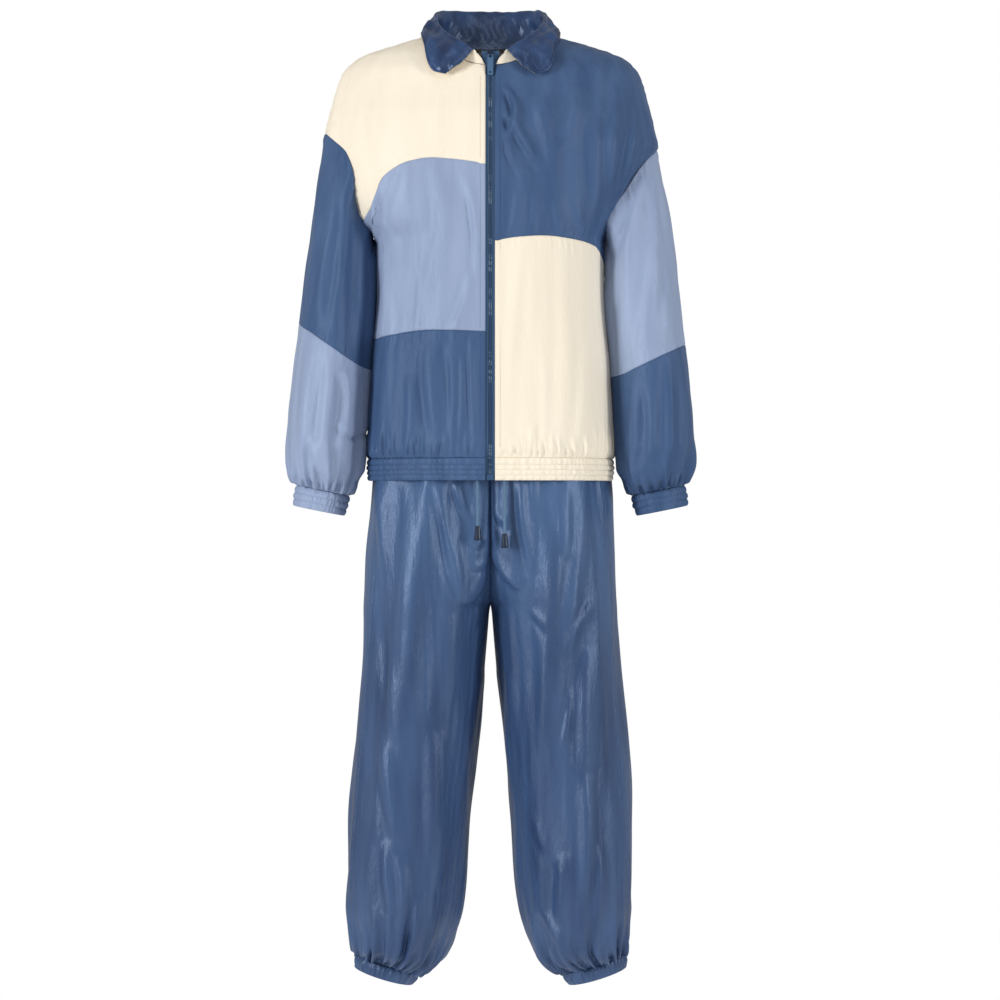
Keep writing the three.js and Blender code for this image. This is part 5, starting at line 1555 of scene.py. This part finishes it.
def glints(z):
    """Which teeth catch the light: some in each of a row of uneven clusters."""
    rng = np.random.default_rng(5)
    places = rng.uniform(z.min(), z.max(), GLINT_CLUSTERS)
    reach = rng.uniform(*GLINT_REACH, GLINT_CLUSTERS)
    near = (np.abs(z[:, None] - places[None]) < reach[None]).any(axis=1)
    return near & (rng.uniform(size=len(z)) < 0.45)


def add_zip():
    for side_name, side in SIDES.items():
        ends = sorted((side * TAPE_INNER, side * TAPE_OUTER))
        vertices, faces = strip(*ends, ZIP_TOP, ZIP_BOTTOM, 0, 1)
        plain_piece(f"tape_{side_name}", vertices, faces, tape_blue, [f"zip_tape_{side_name}"], False)
    sets = [strip(-CHAIN_HALF_WIDTH, CHAIN_HALF_WIDTH, CHAIN_TOP, CHAIN_BOTTOM, 0.2, 1.4)]
    count = int((CHAIN_TOP - CHAIN_BOTTOM) / TOOTH_PITCH)
    z = CHAIN_TOP - (np.arange(count) + 0.5) * TOOTH_PITCH
    for number, side in enumerate((RIGHT, LEFT)):
        height = z + (TOOTH_PITCH / 2 if side == RIGHT else 0)
        centres = stacked(side * 0.95, zip_face(height) - 0.7, height)
        sets.append(boxes(centres, (2.6, 1.1, 0.62 * TOOTH_PITCH)))
        bright = centres[glints(height)] + (side * 0.5, -0.5, 0)
        plain_piece(f"glints_{number}", *boxes(bright, (1.1, 0.6, 0.8)), glint, (), False)
    vertices, faces, base = [], [], 0
    for points, quads in sets:
        vertices.append(points)
        faces.append(quads + base)
        base += len(points)
    plain_piece("zip_teeth", np.concatenate(vertices), np.concatenate(faces), chain_blue,
                ["zip_chain"], False)


def repaint(node, material):
    """Gives a CAD node that stays visible its finish."""
    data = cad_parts[node].data
    data.materials.clear()
    data.materials.append(material)


TOPSTITCH_IN = 7.4
TOPSTITCH = {
    RIGHT: [(-60, -186, thread_cream), (-194, -432, thread_light), (-440, -618, thread_dark)],
    LEFT: [(-60, -300, thread_dark), (-307, -618, thread_cream)],
}


def add_topstitch():
    """The line of stitches beside the zip, on each front."""
    for side, spans in TOPSTITCH.items():
        for top, bottom, thread in spans:
            z = np.arange(top, bottom, -3.0)
            angle = torso.angle_at(side, ZIP_EDGE + TOPSTITCH_IN, z)
            points, normals = torso.at(side, angle, z)
            lift = jacket_lift(points, normals, 3) + 0.25
            stitch(thread, points + normals * lift[:, None], normals)


add_fronts()
add_back()
add_hem_band()
add_sleeve("right", dark_blue, light_blue)
add_sleeve("left", light_blue, dark_blue)
add_bands()
for side_name in SIDES:
    add_trousers(side_name)
add_collar()
add_zip()
add_topstitch()
add_stitches()
repaint("zip_bottom_stop", chain_blue)
repaint("zip_slider", slider_blue)
repaint("pull_tab", metal)
for side_name in SIDES:
    repaint(f"eyelet_{side_name}", metal)
    repaint(f"cord_end_{side_name}", cord_plastic)

# The studio: a pale floor, a white surround and soft lights

FLOOR_Z = -1.5
FLOOR_GLOW = 0.35
FLOOR_CORNERS = ((-1.3, -1.3), (1.3, 0.3))
WORLD_LIGHT = 0.4
LIGHT_AIM = (0, 0, -0.6)
LIGHTS = {
    "key": dict(place=(-3.9, -3.3, 0.1), size=(1.0, 2.2), power=166),
    "side": dict(place=(3.4, -2.2, 0.0), size=(0.6, 2.0), power=66),
    "high": dict(place=(0.3, -2.4, 2.4), size=(1.6, 0.8), power=10),
}


def add_floor():
    material, _, shader = new_material("floor")
    shader.inputs["Base Color"].default_value = (0.85, 0.85, 0.85, 1)
    shader.inputs["Roughness"].default_value = 0.9
    shader.inputs["Specular IOR Level"].default_value = 0
    shader.inputs["Emission Color"].default_value = (1, 1, 1, 1)
    shader.inputs["Emission Strength"].default_value = FLOOR_GLOW
    mesh = bpy.data.meshes.new("floor")
    (left, front), (right, back) = FLOOR_CORNERS
    corners = [(left, front), (right, front), (right, back), (left, back)]
    mesh.from_pydata([(x, y, FLOOR_Z) for x, y in corners], [], [(0, 1, 2, 3)])
    mesh.materials.append(material)
    floor = bpy.data.objects.new("floor", mesh)
    bpy.context.scene.collection.objects.link(floor)


def add_world():
    world = bpy.data.worlds.new("world")
    bpy.context.scene.world = world
    world.use_nodes = True
    tree = world.node_tree
    seen = tree.nodes["Background"]
    seen.inputs["Color"].default_value = (1, 1, 1, 1)
    seen.inputs["Strength"].default_value = 1.0
    light = tree.nodes.new("ShaderNodeBackground")
    light.inputs["Color"].default_value = (1, 1, 1, 1)
    light.inputs["Strength"].default_value = WORLD_LIGHT
    path = tree.nodes.new("ShaderNodeLightPath")
    mix = tree.nodes.new("ShaderNodeMixShader")
    tree.links.new(path.outputs["Is Camera Ray"], mix.inputs["Fac"])
    tree.links.new(light.outputs["Background"], mix.inputs[1])
    tree.links.new(seen.outputs["Background"], mix.inputs[2])
    tree.links.new(mix.outputs["Shader"], tree.nodes["World Output"].inputs["Surface"])


def add_area(name, place, size, power):
    """A soft light panel that looks at the garment."""
    data = bpy.data.lights.new(name, "AREA")
    data.shape = "RECTANGLE"
    data.size, data.size_y = size
    data.energy = power
    lamp = bpy.data.objects.new(name, data)
    lamp.location = place
    direction = np.array(LIGHT_AIM) - np.array(place)
    flat = math.hypot(direction[0], direction[1])
    lamp.rotation_euler = (math.pi / 2 + math.atan2(direction[2], flat), 0,
                           math.atan2(direction[1], direction[0]) - math.pi / 2)
    bpy.context.scene.collection.objects.link(lamp)


add_world()
add_floor()
for name, light in LIGHTS.items():
    add_area(name, **light)
bpy.context.scene.view_settings.view_transform = "Standard"
